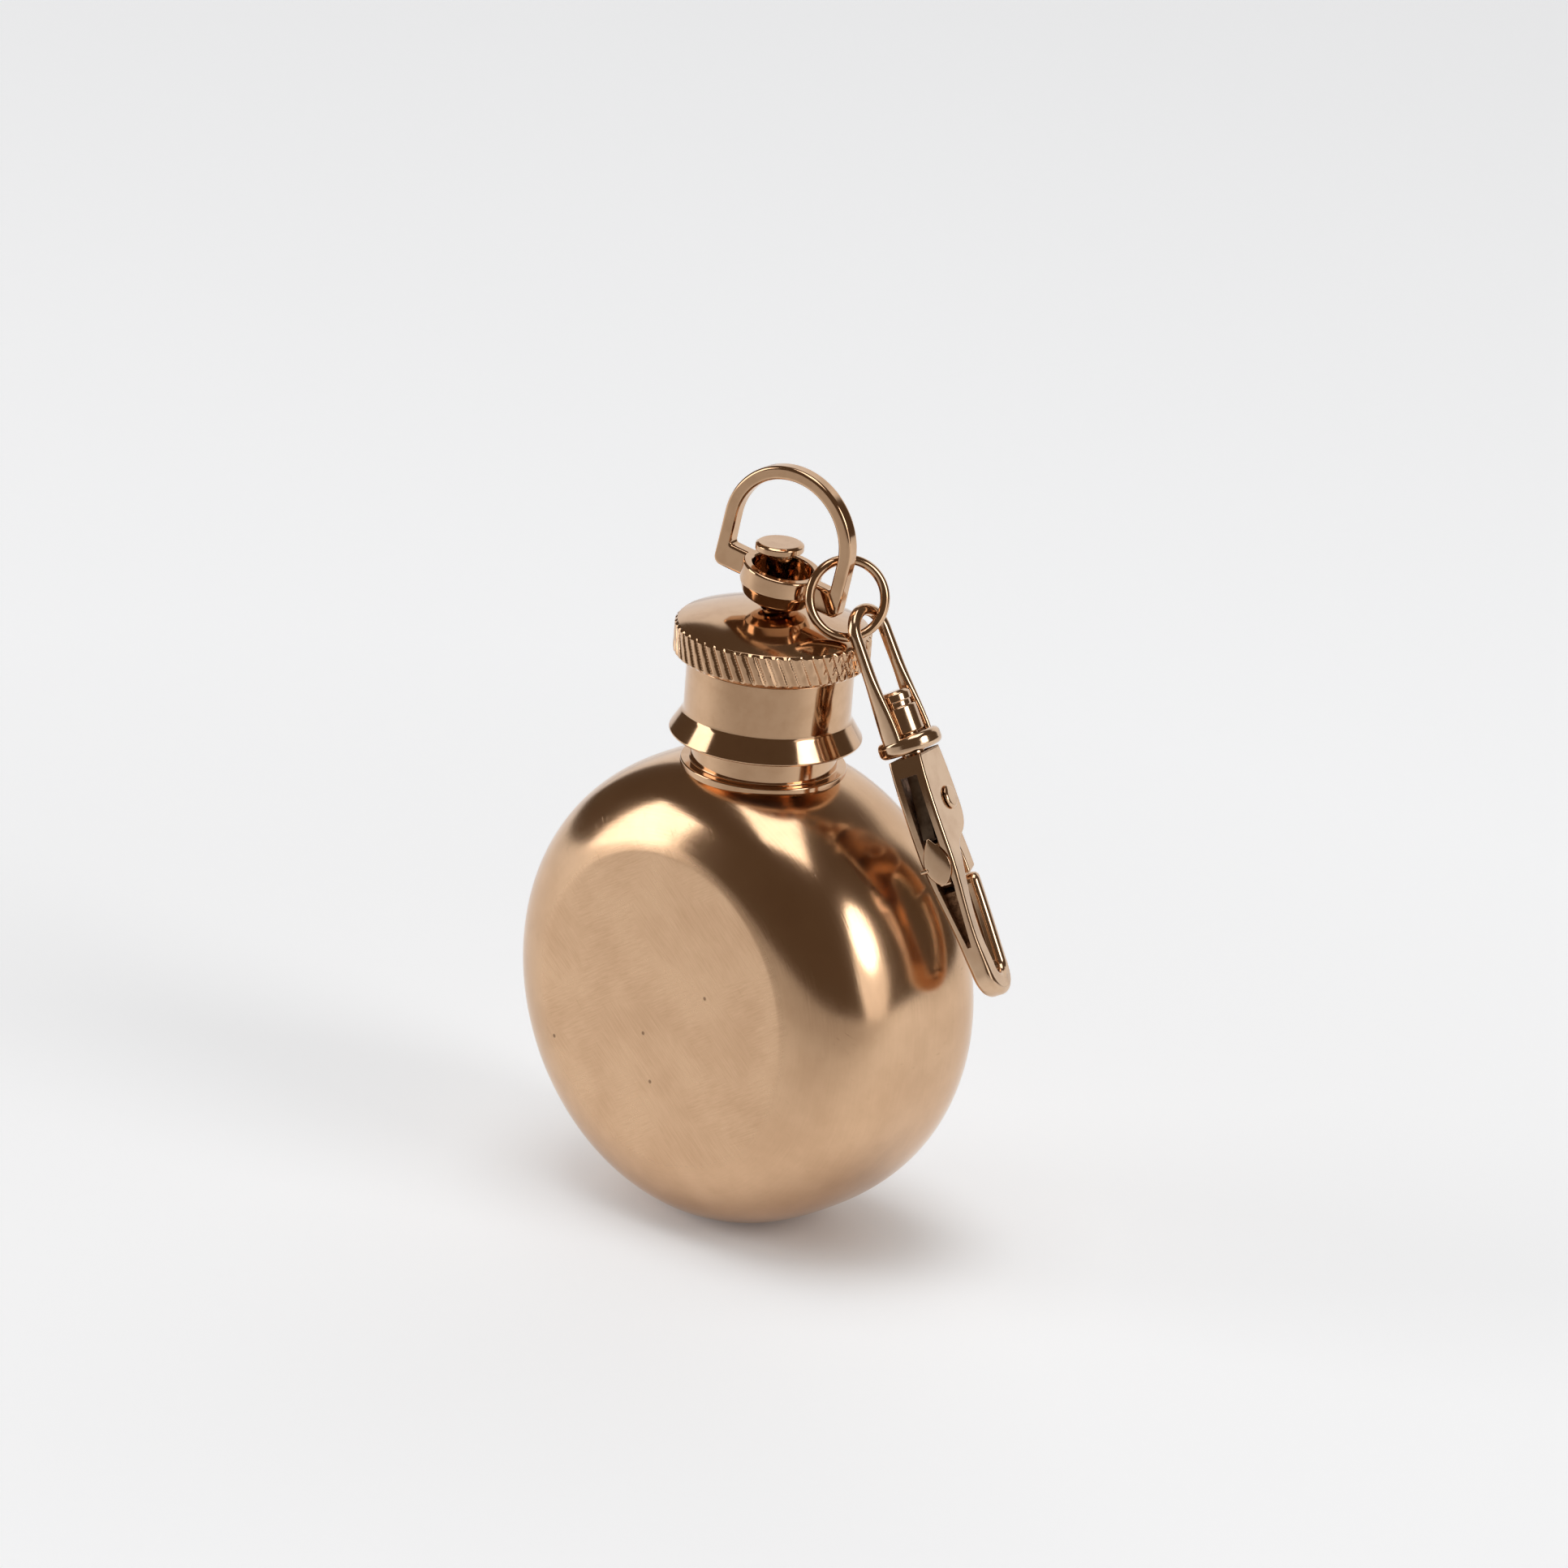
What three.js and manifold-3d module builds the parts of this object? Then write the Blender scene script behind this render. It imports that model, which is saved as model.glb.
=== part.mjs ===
// Keychain flask: a one-ounce round pocket flask with a screw cap, a swivelling bail,
// a jump ring and a swivel lobster clasp that hangs down beside the body.
// Millimetres, +Z up. Origin: middle of the small flat that the flask stands on.
// The flat front face looks along -Y and the clasp hangs on the +X side.
import * as THREE from "three";
import { mergeVertices } from "three/addons/utils/BufferGeometryUtils.js";
import Module from "manifold-3d";

const wasm = await Module();
wasm.setup();

// Body: two pressed shells, joined on the plane y = 0
const bodyDiameter = 45;
const bodyDepth = 23.7;
const faceDiameter = 29.5; // flat front and rear faces
const sideFullness = 2.7; // how long the rim stays broad before it rounds over
const cornerFullness = 4.8; // how tightly it turns into the flat face
const wall = 0.8;
const footLength = 9; // flat pressed into the rim, to stand on

// Neck: a turned spout soldered on the rim
const neckBore = 9.2;
const spoutWall = 1.3; // threaded part, inside the cap
const shoulderWidth = 0.9;
const beadWidth = 0.9; // bead that sits on the body, beyond the shoulder
const rootHeight = 2.2; // shoulder above the bead
const spigotWall = 1; // goes through the hole in the shells
const spigotDepth = 2.2;
const shoulderRise = 1.45; // neck shoulder above the top of the rim

// Screw cap
const capHeight = 10.8; // to the edge of the crown
const knurlDiameter = 18.2;
const knurlHeight = 3;
const knurlChamfer = 0.25;
const grooveDepth = 0.4;
const grooveHeight = 0.5;
const barrelDiameter = 15.5;
const lipDiameter = 18;
const lipHeight = 0.25; // sharp edge of the lip above the bottom of the cap
const lipBevel = 2.05; // from the barrel down to that edge
const skirtDiameter = 17; // flat underside of the lip
const crownSkin = 1.2;
const crownRise = 1.7; // dome of the crown over its edge
const linerThickness = 1;

// Swivel rivet through the crown of the cap, with its washer
const stemDiameter = 2.2;
const rivetHeadWidth = 1.15; // beyond the stem
const rivetHeadThickness = 0.75;
const rivetPlay = 1.8; // free height for the bail under the head
const washerWidth = 1.7; // beyond the stem
const washerThickness = 0.5;
const tailWidth = 0.7; // beyond the stem
const tailThickness = 0.4;

// Bail: a flat D with a cup in its crossbar, which rocks and turns on the rivet
const bailWidth = 13.8;
const bailHeight = 12.2;
const bailStrip = 1.3;
const bailDepth = 1.5;
const bailBevel = 0.2;
const crossbarHeight = 2.4;
const cupBore = 5.7;
const cupWall = 0.85;
const cupDrop = 1.15; // floor of the cup below the crossbar
const cupFloor = 1;
const cupFootWidth = 0.7; // round the hole in the floor
const bailYaw = THREE.MathUtils.degToRad(9.7);
const bailTilt = THREE.MathUtils.degToRad(9.6);

// Jump ring, threaded through the bail
const ringOuter = 8;
const ringWire = 0.9;
const ringGap = 0.4; // slit where the ends of the wire meet
const ringBeyond = 0.4; // centre beyond the side of the bail
const ringBehind = 0.5;
const ringClear = 0.45; // ring above the cap
const ringTwist = THREE.MathUtils.degToRad(46);
const ringLean = THREE.MathUtils.degToRad(20.3);
const ringHang = THREE.MathUtils.degToRad(-38.4); // where the clasp hangs on it

// Swivel clasp, measured down from the middle of the wire of its eye
const pinDiameter = 2.2;
const pinBossWidth = 0.65; // beyond the shank
const pinBossHeight = 2.5;
const pinHeadWidth = 0.5; // beyond the shank
const pinHeadHeight = 1;
const pinGroove = 0.5;
const pinDepth = 1.6; // into the hook
const eyeWire = 1.1;
const strapWidth = 2;
const strapThickness = 0.75;
const collarDrop = 12.1;
const collarHeight = 1.6;
const collarEdge = 0.5; // beyond the middle of the straps
const hookThickness = 3.3;
const hookToeThickness = 2.4;
const hookNoseThickness = 1.8;
const hookBevel = 0.3;
const hookWidth = 6.8;
const hookLength = 23.6; // from its top to the round end
const hookTopWidth = 5;
const spineWidth = 2.4;
const noseWidth = 1.6;
const toeWidth = 5.4; // round end of the hook
const toeDepth = 2.4; // solid below the opening of the hook
const slotWidth = 1.7;
const slotRoof = 1.8; // solid top of the hook above the slot
const channelWeb = 0.65;
const channelEnd = 5.3; // solid end of the hook below the channel
const pivotDrop = 4.9; // gate pivot below the top of the hook
const pivotOffset = 0.5; // gate pivot towards the gate side
const gateReach = 7.4; // from the pivot to the tip of the gate
const gateThickness = 1.3;
const gateLeg = 1.75;
const gateTabStand = 0.4; // thumb tab beyond the spine
const gatePinDiameter = 1.2;
const gatePinHead = 2.4;
const gatePinHeadHeight = 0.3;
const springThickness = 0.25;
const springWidth = 1.2;
const claspAzimuth = THREE.MathUtils.degToRad(7.8);
const claspRoll = THREE.MathUtils.degToRad(14);
const claspStandoff = 3.6; // axis of the clasp clear of the rim of the body

// Clearances
const weldGap = 0.1;
const seatGap = 0.1; // liner, washer and tail against what they bear on
const shoulderGap = 0.3;
const threadGap = 0.35;
const linerGap = 0.25;
const turnGap = 0.2; // rivet in the cap, and the bail over the cap
const swivelGap = 0.15;
const rockGap = 0.5; // bail round the stem of the rivet
const legGap = 0.375; // straps of the eye beside the boss of the pin
const linkGap = 0.8; // eye of the clasp inside the ring
const gateGap = 0.35;
const pivotGap = 0.15;

// Diameters that follow from these
const spoutDiameter = neckBore + 2 * spoutWall;
const neckDiameter = spoutDiameter + 2 * shoulderWidth;
const rootDiameter = neckDiameter + 2 * beadWidth;
const spigotDiameter = neckBore + 2 * spigotWall;
const rivetHeadDiameter = stemDiameter + 2 * rivetHeadWidth;
const washerDiameter = stemDiameter + 2 * washerWidth;
const tailDiameter = stemDiameter + 2 * tailWidth;
const cupDiameter = cupBore + 2 * cupWall;
const cupHoleDiameter = stemDiameter + 2 * rockGap;
const cupFootDiameter = cupHoleDiameter + 2 * cupFootWidth;
const pinBossDiameter = pinDiameter + 2 * pinBossWidth;
const pinHeadDiameter = pinDiameter + 2 * pinHeadWidth;
const eyeWidth = pinHeadDiameter + eyeWire + 2 * swivelGap; // middles of its legs, at the top
const eyeFootWidth = pinBossDiameter + strapThickness + 2 * legGap;
const collarDiameter = eyeFootWidth + 2 * collarEdge;

// Levels
const bodyRadius = bodyDiameter / 2;
const bodyCentre = Math.sqrt(bodyRadius ** 2 - (footLength / 2) ** 2);
const bodyTop = bodyCentre + bodyRadius;
const shoulderLevel = bodyTop + shoulderRise;
const capBottom = shoulderLevel + shoulderGap;
const capTop = capBottom + capHeight;
const recessDepth = washerThickness + tailThickness + 3 * seatGap;
const ceiling = capTop - crownSkin - recessDepth;
const linerTop = ceiling - seatGap;
const spoutTop = linerTop - linerThickness - seatGap;
const washerTop = capTop - crownSkin - seatGap;
const tailTop = washerTop - washerThickness - seatGap;
const crownTop = capTop + crownRise;
const rivetTop = crownTop + turnGap + cupDrop + crossbarHeight + rivetPlay + rivetHeadThickness;
const pivotLevel = crownTop + turnGap + (cupFloor / 2) * Math.cos(bailTilt)
  + (cupFootDiameter / 2) * Math.sin(bailTilt);

const roseGold = (roughness, color = 0xc48f66) =>
  new THREE.MeshStandardMaterial({ color, metalness: 1, roughness });
const brushed = roseGold(0.38);
const polished = roseGold(0.14, 0xb98458);
const steel = new THREE.MeshStandardMaterial({ color: 0x9a9a98, metalness: 1, roughness: 0.4 });
const silicone = new THREE.MeshStandardMaterial({ color: 0xe4e2dc, metalness: 0, roughness: 0.7 });

const v2 = (x, y) => new THREE.Vector2(x, y);

// A closed geometry as a solid that can be joined and cut.
function solid(geometry) {
  const bare = geometry.clone();
  bare.deleteAttribute("normal");
  bare.deleteAttribute("uv");
  const merged = mergeVertices(bare, 1e-4);
  return new wasm.Manifold(new wasm.Mesh({
    numProp: 3,
    vertProperties: merged.attributes.position.array,
    triVerts: new Uint32Array(merged.index.array),
  }));
}

// The geometry of a solid.
function surface(body) {
  const { vertProperties, triVerts } = body.getMesh();
  const geometry = new THREE.BufferGeometry();
  geometry.setAttribute("position", new THREE.BufferAttribute(vertProperties, 3));
  geometry.setIndex(new THREE.BufferAttribute(triVerts, 1));
  geometry.computeVertexNormals();
  return geometry;
}

// A named mesh of a geometry or a solid.
function piece(name, form, material) {
  const mesh = new THREE.Mesh(form.isBufferGeometry ? form : surface(form), material);
  mesh.name = name;
  return mesh;
}

// A turned form about Z. The profile is a list of [radius, height], counter-clockwise.
function turned(profile, segments) {
  const points = profile.map(([radius, height]) => v2(radius, height));
  const closed = points[0].x === 0 && points.at(-1).x === 0 ? points : [...points, points[0]];
  return new THREE.LatheGeometry(closed, segments).rotateX(Math.PI / 2);
}

// A plain tube or disc about Z.
function ringOf(inner, outer, low, high, segments) {
  return turned([[inner, low], [outer, low], [outer, high], [inner, high]], segments);
}

function cylinder(diameter, low, high, segments) {
  const form = new THREE.CylinderGeometry(diameter / 2, diameter / 2, high - low, segments);
  return form.rotateX(Math.PI / 2).translate(0, 0, (low + high) / 2);
}

function block(x0, x1, y0, y1, z0, z1) {
  const form = new THREE.BoxGeometry(x1 - x0, y1 - y0, z1 - z0);
  return form.translate((x0 + x1) / 2, (y0 + y1) / 2, (z0 + z1) / 2);
}

// A plate whose outline is drawn in (y, z), centred on x = 0.
function plate(outline, thickness, bevel = 0) {
  const form = new THREE.ExtrudeGeometry(outline, {
    depth: thickness - 2 * bevel,
    bevelEnabled: bevel > 0,
    bevelThickness: bevel,
    bevelSize: bevel,
    bevelOffset: -bevel,
    bevelSegments: 1,
    curveSegments: 8,
  });
  form.translate(0, 0, bevel - thickness / 2);
  return form.rotateY(Math.PI / 2).rotateX(Math.PI / 2);
}

// The rim of the body: radius at a distance y from the middle plane, a superellipse that
// reaches the flat face at half the depth.
const halfDepth = bodyDepth / 2;
const faceShare = (faceDiameter / bodyDiameter) ** cornerFullness;
const reach = halfDepth / (1 - faceShare) ** (1 / sideFullness);
const rimRadius = (y) => bodyRadius * (1 - (y / reach) ** sideFullness) ** (1 / cornerFullness);

// Points of that profile from the middle plane to the flat face, moved out by an offset.
function rimProfile(offset, steps) {
  const points = [];
  for (let i = 0; i <= steps; i++) {
    const y = halfDepth * Math.sin((i / steps) * (Math.PI / 2));
    const step = 1e-3;
    const slope = (rimRadius(Math.max(y - step, 0)) - rimRadius(y)) / step;
    const steep = i === 0 ? 0 : slope;
    const length = Math.hypot(1, steep);
    points.push(v2(rimRadius(y) + offset / length, y + (offset * steep) / length));
  }
  points.at(-1).y = halfDepth + offset;
  return points;
}

const rimSteps = 10;
const bodySegments = 56;
const neckSegments = 48;

// The whole outside of the body, grown by an offset, about its own centre on the Y axis.
function bodyBlank(offset) {
  const rear = rimProfile(offset, rimSteps);
  const front = rear.slice(1).reverse().map((p) => v2(p.x, -p.y));
  const outline = [v2(0, front[0].y), ...front, ...rear, v2(0, rear.at(-1).y)];
  return solid(new THREE.LatheGeometry(outline, bodySegments).translate(0, 0, bodyCentre));
}

// A profile turned about the Y axis through the middle of the body, on one side of the seam.
function dished(outline, side) {
  const form = new THREE.LatheGeometry(outline, bodySegments).translate(0, 0, bodyCentre);
  return solid(side < 0 ? form.rotateZ(Math.PI) : form);
}

// One half of the body: a dished shell with a hole for the neck and a flat foot as thick as the wall.
function shell(name, side) {
  const outer = rimProfile(0, rimSteps);
  const inner = rimProfile(-wall, rimSteps - 3);
  const outside = dished([v2(0, 0), ...outer, v2(0, halfDepth)], side);
  const inside = dished([v2(0, -wall), v2(inner[0].x, -wall), ...inner, v2(0, halfDepth - wall)], side);
  const hole = solid(cylinder(spigotDiameter + 2 * weldGap, bodyCentre, bodyTop + wall, neckSegments));
  const above = (floor) => solid(
    block(-bodyDiameter, bodyDiameter, -bodyDepth, bodyDepth, floor, bodyTop + bodyRadius));
  const form = outside.intersect(above(0)).subtract(inside.intersect(above(wall))).subtract(hole);
  return piece(name, form, brushed);
}

// The neck: its bead is cut to the curve of the body, and its spigot goes through the wall.
function neck() {
  const rootTop = shoulderLevel - rootHeight;
  const low = bodyTop - bodyRadius / 4;
  const bore = neckBore / 2;
  const bead = rootDiameter / 2;
  const upper = turned([
    [bore, low], [bead, low], [bead, rootTop - beadWidth / 2], [bead - beadWidth / 4, rootTop - beadWidth / 8],
    [neckDiameter / 2, rootTop], [neckDiameter / 2, shoulderLevel],
    [spoutDiameter / 2, shoulderLevel], [spoutDiameter / 2, spoutTop - grooveHeight],
    [bore + wall, spoutTop], [bore, spoutTop],
  ], neckSegments);
  const spigot = ringOf(bore, spigotDiameter / 2, bodyTop - spigotDepth, shoulderLevel, neckSegments);
  return piece("neck", solid(upper).subtract(bodyBlank(weldGap)).add(solid(spigot)), polished);
}

// The cap: knurled rim, barrel and flared lip in one turned piece over the spout.
function cap() {
  const knurl = knurlDiameter / 2;
  const barrel = barrelDiameter / 2;
  const knurlBottom = capTop - knurlHeight;
  const lipEdge = capBottom + lipHeight;
  const bore = spoutDiameter / 2 + threadGap;
  const recess = washerDiameter / 2 + turnGap;
  const hole = stemDiameter / 2 + turnGap;
  const edge = knurl - knurlChamfer;
  const dome = (edge ** 2 + crownRise ** 2) / (2 * crownRise);
  const crown = [1, 0.8, 0.6, 0.4, 0.2].map((share) =>
    [share * edge, crownTop - dome + Math.sqrt(dome ** 2 - (share * edge) ** 2)]);
  const form = turned([
    ...crown, [hole, crownTop], [hole, ceiling + recessDepth], [recess, ceiling + recessDepth],
    [recess, ceiling], [bore, ceiling], [bore, capBottom], [skirtDiameter / 2, capBottom],
    [lipDiameter / 2, lipEdge], [barrel, lipEdge + lipBevel],
    [barrel, knurlBottom - grooveHeight], [barrel - grooveDepth, knurlBottom - grooveHeight / 2],
    [barrel - grooveDepth, knurlBottom], [edge, knurlBottom],
    [knurl, knurlBottom + knurlChamfer], [knurl, capTop - knurlChamfer],
  ], neckSegments);
  return piece("cap", form, polished);
}

function capLiner() {
  const radius = spoutDiameter / 2 + threadGap - linerGap;
  return piece("cap_liner", cylinder(2 * radius, linerTop - linerThickness, linerTop, 32), silicone);
}

// The rivet: domed head, stem and a tail peened over the washer.
function swivelRivet() {
  const head = rivetHeadDiameter / 2;
  const stem = stemDiameter / 2;
  const tail = tailDiameter / 2;
  const top = rivetTop;
  const low = tailTop - tailThickness;
  return piece("swivel_rivet", turned([
    [0, low], [tail * 0.8, low], [tail, tailTop - tailThickness / 2], [tail, tailTop],
    [stem, tailTop], [stem, top - rivetHeadThickness], [head, top - rivetHeadThickness],
    [head, top - rivetHeadThickness / 4], [head * 0.9, top], [0, top],
  ], 24), polished);
}

function rivetWasher() {
  const inner = stemDiameter / 2 + turnGap;
  return piece("rivet_washer",
    ringOf(inner, washerDiameter / 2, washerTop - washerThickness, washerTop, 24), steel);
}

// The bail, about the point where it rocks: the middle of the floor of its cup.
function bail() {
  const low = cupDrop - cupFloor / 2;
  const half = bailWidth / 2;
  const shoulder = low + bailHeight - half;
  const outline = new THREE.Shape();
  outline.moveTo(-half, low);
  outline.lineTo(half, low);
  outline.lineTo(half, shoulder);
  outline.absarc(0, shoulder, half, 0, Math.PI);
  outline.closePath();
  const window = new THREE.Path();
  const inside = half - bailStrip;
  window.moveTo(-inside, low + crossbarHeight);
  window.lineTo(-inside, shoulder);
  window.absarc(0, shoulder, inside, Math.PI, 0, true);
  window.lineTo(inside, low + crossbarHeight);
  window.closePath();
  outline.holes.push(window);
  const strip = plate(outline, bailDepth, bailBevel).rotateZ(-Math.PI / 2);
  const rim = low + crossbarHeight;
  const foot = -cupFloor / 2;
  const cupRadius = cupDiameter / 2;
  const cup = turned([
    [0, foot], [cupFootDiameter / 2, foot], [cupRadius * 0.85, foot + cupDrop * 0.45],
    [cupRadius, low + crossbarHeight / 4], [cupRadius, rim - bailBevel],
    [cupRadius - bailBevel, rim], [0, rim],
  ], 32);
  const cavity = turned([
    [0, -foot], [cupFootDiameter / 2, -foot], [cupBore / 2, low], [cupBore / 2, rim + cupFloor],
    [0, rim + cupFloor],
  ], 24);
  const hole = cylinder(cupHoleDiameter, 2 * foot, -2 * foot, 24);
  const form = solid(strip).add(solid(cup)).subtract(solid(cavity)).subtract(solid(hole));
  return piece("bail", form, polished);
}

// An arc about the middle of the ring, in its own x-z plane.
class RingArc extends THREE.Curve {
  constructor(radius, start, sweep) {
    super();
    Object.assign(this, { radius, start, sweep });
  }
  getPoint(t, target = new THREE.Vector3()) {
    const angle = this.start + t * this.sweep;
    return target.set(this.radius * Math.cos(angle), 0, this.radius * Math.sin(angle));
  }
}

const ringRadius = (ringOuter - ringWire) / 2;

function jumpRing() {
  const slit = ringGap / ringRadius;
  const slitAt = ringHang - 3 * (ringWire / ringRadius);
  const path = new RingArc(ringRadius, slitAt + slit / 2, 2 * Math.PI - slit);
  const section = new THREE.Shape().absarc(0, 0, ringWire / 2, 0, 2 * Math.PI);
  return piece("jump_ring", new THREE.ExtrudeGeometry(section, {
    extrudePath: path, steps: 44, curveSegments: 10, bevelEnabled: false,
  }), polished);
}

// The wire of the eye from its left foot over the top to its right foot, in (y, z).
function eyeRoute(footDrop) {
  const half = eyeWidth / 2;
  const foot = eyeFootWidth / 2;
  const route = new THREE.CurvePath();
  route.add(new THREE.LineCurve(v2(-foot, -footDrop), v2(-half, -half)));
  route.add(new THREE.EllipseCurve(0, -half, half, half, Math.PI, 0, true));
  route.add(new THREE.LineCurve(v2(half, -half), v2(foot, -footDrop)));
  return route;
}

// A bar swept along that route whose round section flattens into a strap at both feet.
function eyeLoop(footDrop) {
  const route = eyeRoute(footDrop);
  const steps = 32;
  const sides = 10;
  const positions = [];
  const index = [];
  for (let i = 0; i <= steps; i++) {
    const p = route.getPoint(i / steps);
    const t = route.getTangent(Math.min(Math.max(i / steps, 0.001), 0.999));
    const flat = THREE.MathUtils.smoothstep(-p.y / footDrop, 0.45, 0.95);
    const broad = THREE.MathUtils.lerp(eyeWire, strapWidth, flat) / 2;
    const thin = THREE.MathUtils.lerp(eyeWire, strapThickness, flat) / 2;
    for (let j = 0; j < sides; j++) {
      const angle = (2 * Math.PI * j) / sides;
      const out = thin * Math.cos(angle);
      positions.push(broad * Math.sin(angle), p.x - t.y * out, p.y + t.x * out);
    }
  }
  const ends = [0, steps * sides];
  for (let i = 0; i < steps; i++) {
    for (let j = 0; j < sides; j++) {
      const a = i * sides + j;
      const b = i * sides + ((j + 1) % sides);
      index.push(a, b, a + sides, b, b + sides, a + sides);
    }
  }
  for (let j = 1; j < sides - 1; j++) {
    index.push(ends[0], ends[0] + j + 1, ends[0] + j);
    index.push(ends[1], ends[1] + j, ends[1] + j + 1);
  }
  const loop = new THREE.BufferGeometry();
  loop.setAttribute("position", new THREE.Float32BufferAttribute(positions, 3));
  loop.setIndex(index);
  return loop;
}

// The swivel eye: the loop stands on a rounded collar that turns on the pin.
function claspEye() {
  const bore = pinDiameter / 2 + swivelGap;
  const outer = collarDiameter / 2;
  const bottom = -collarDrop - collarHeight;
  const bulge = collarHeight / 4;
  const collar = turned([
    [bore, bottom], [outer - bulge, bottom], [outer, bottom + bulge],
    [outer, -collarDrop - bulge], [outer - bulge, -collarDrop], [bore, -collarDrop],
  ], 28);
  const loop = eyeLoop(collarDrop + collarHeight / 2);
  return piece("clasp_eye", solid(loop).add(solid(collar)), polished);
}

const hookTop = -collarDrop - collarHeight - swivelGap;

// The swivel pin: its boss and head stand inside the eye, its shank is fixed in the hook.
function swivelPin() {
  const shank = pinDiameter / 2;
  const boss = pinBossDiameter / 2;
  const head = pinHeadDiameter / 2;
  const seat = -collarDrop + swivelGap;
  const bossTop = seat + pinBossHeight;
  const headLow = bossTop + pinGroove;
  return piece("clasp_swivel_pin", turned([
    [0, hookTop - pinDepth], [shank, hookTop - pinDepth], [shank, seat], [boss, seat],
    [boss, bossTop], [boss * 0.8, bossTop], [boss * 0.8, headLow], [head, headLow],
    [head, headLow + pinHeadHeight * 0.7], [head * 0.8, headLow + pinHeadHeight],
    [0, headLow + pinHeadHeight],
  ], 24), polished);
}

const hookEnd = hookTop - hookLength;
const pivot = v2(pivotOffset, hookTop - pivotDrop);
const spineOut = -hookWidth / 2;
const spineIn = spineOut + spineWidth;
const noseOut = hookWidth / 2;
const noseIn = noseOut - noseWidth;
const slotTop = hookTop - slotRoof;
const webTop = pivot.y - gateReach * 0.58;
const noseReach = gateReach + gateGap;
const below = (y, radius) => pivot.y - Math.sqrt(radius ** 2 - (y - pivot.x) ** 2);

// The side view of the hook: cheeks at the top, spine, round toe and bowed nose.
function hookOutline() {
  const top = hookTopWidth / 2;
  const toe = toeWidth / 2;
  const toeLevel = hookEnd + toe;
  const tipLevel = below(noseOut, noseReach);
  const eye = (toeWidth - spineWidth - noseWidth) / 2;
  const eyeAt = (spineWidth - noseWidth) / 2;
  const eyeLevel = hookEnd + toeDepth + eye;
  const outline = new THREE.Shape();
  outline.moveTo(-top, hookTop);
  outline.quadraticCurveTo(spineOut, (hookTop + pivot.y) / 2, spineOut, webTop);
  outline.quadraticCurveTo(spineOut, (webTop + toeLevel) / 2, -toe, toeLevel);
  outline.absarc(0, toeLevel, toe, Math.PI, 2 * Math.PI);
  outline.quadraticCurveTo(noseOut, (toeLevel + tipLevel) / 2, noseOut, tipLevel);
  outline.lineTo(noseIn, below(noseIn, noseReach));
  outline.quadraticCurveTo(noseIn, (eyeLevel + tipLevel) / 2, eyeAt + eye, eyeLevel);
  outline.absarc(eyeAt, eyeLevel, eye, 0, Math.PI, true);
  outline.quadraticCurveTo(spineIn, (webTop + eyeLevel) / 2, spineIn, webTop - spineWidth / 2);
  outline.quadraticCurveTo(spineIn, webTop, pivot.x, pivot.y - gateReach * 0.48);
  outline.quadraticCurveTo(noseOut * 0.72, pivot.y - gateReach * 0.42,
    noseOut * 0.8, pivot.y - pivotDrop / 4);
  outline.quadraticCurveTo(noseOut * 0.85, (hookTop + pivot.y) / 2, top, hookTop);
  return outline;
}

// The hook: the plate thins towards its toe and nose, and a slot and a channel take the gate.
function claspHook() {
  const form = plate(hookOutline(), hookThickness, hookBevel);
  const at = form.getAttribute("position");
  const ramp = THREE.MathUtils.smoothstep;
  for (let i = 0; i < at.count; i++) {
    const down = ramp(-at.getZ(i), -webTop, -hookEnd);
    const aside = ramp(at.getY(i), pivotOffset, noseOut) * ramp(-at.getZ(i), -webTop, noseReach - pivot.y);
    const thick = THREE.MathUtils.lerp(hookThickness, hookToeThickness, down);
    at.setX(i, (at.getX(i) * THREE.MathUtils.lerp(thick, hookNoseThickness, aside)) / hookThickness);
  }
  const half = slotWidth / 2;
  const slot = block(-half, half, -hookWidth, hookWidth, webTop, slotTop);
  const channel = block(-half, half, -hookWidth, spineIn - channelWeb, hookEnd + channelEnd, slotTop);
  const socket = cylinder(pinDiameter + 2 * swivelGap, slotTop - 1, hookTop + 1, 20);
  const pinHole = new THREE.CylinderGeometry(gatePinDiameter / 2 + pivotGap, gatePinDiameter / 2
    + pivotGap, 2 * hookThickness, 16).rotateZ(Math.PI / 2).translate(0, pivot.x, pivot.y);
  const cuts = [slot, channel, socket, pinHole].map(solid);
  return piece("clasp_hook", cuts.reduce((body, cut) => body.subtract(cut), solid(form)), polished);
}

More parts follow.
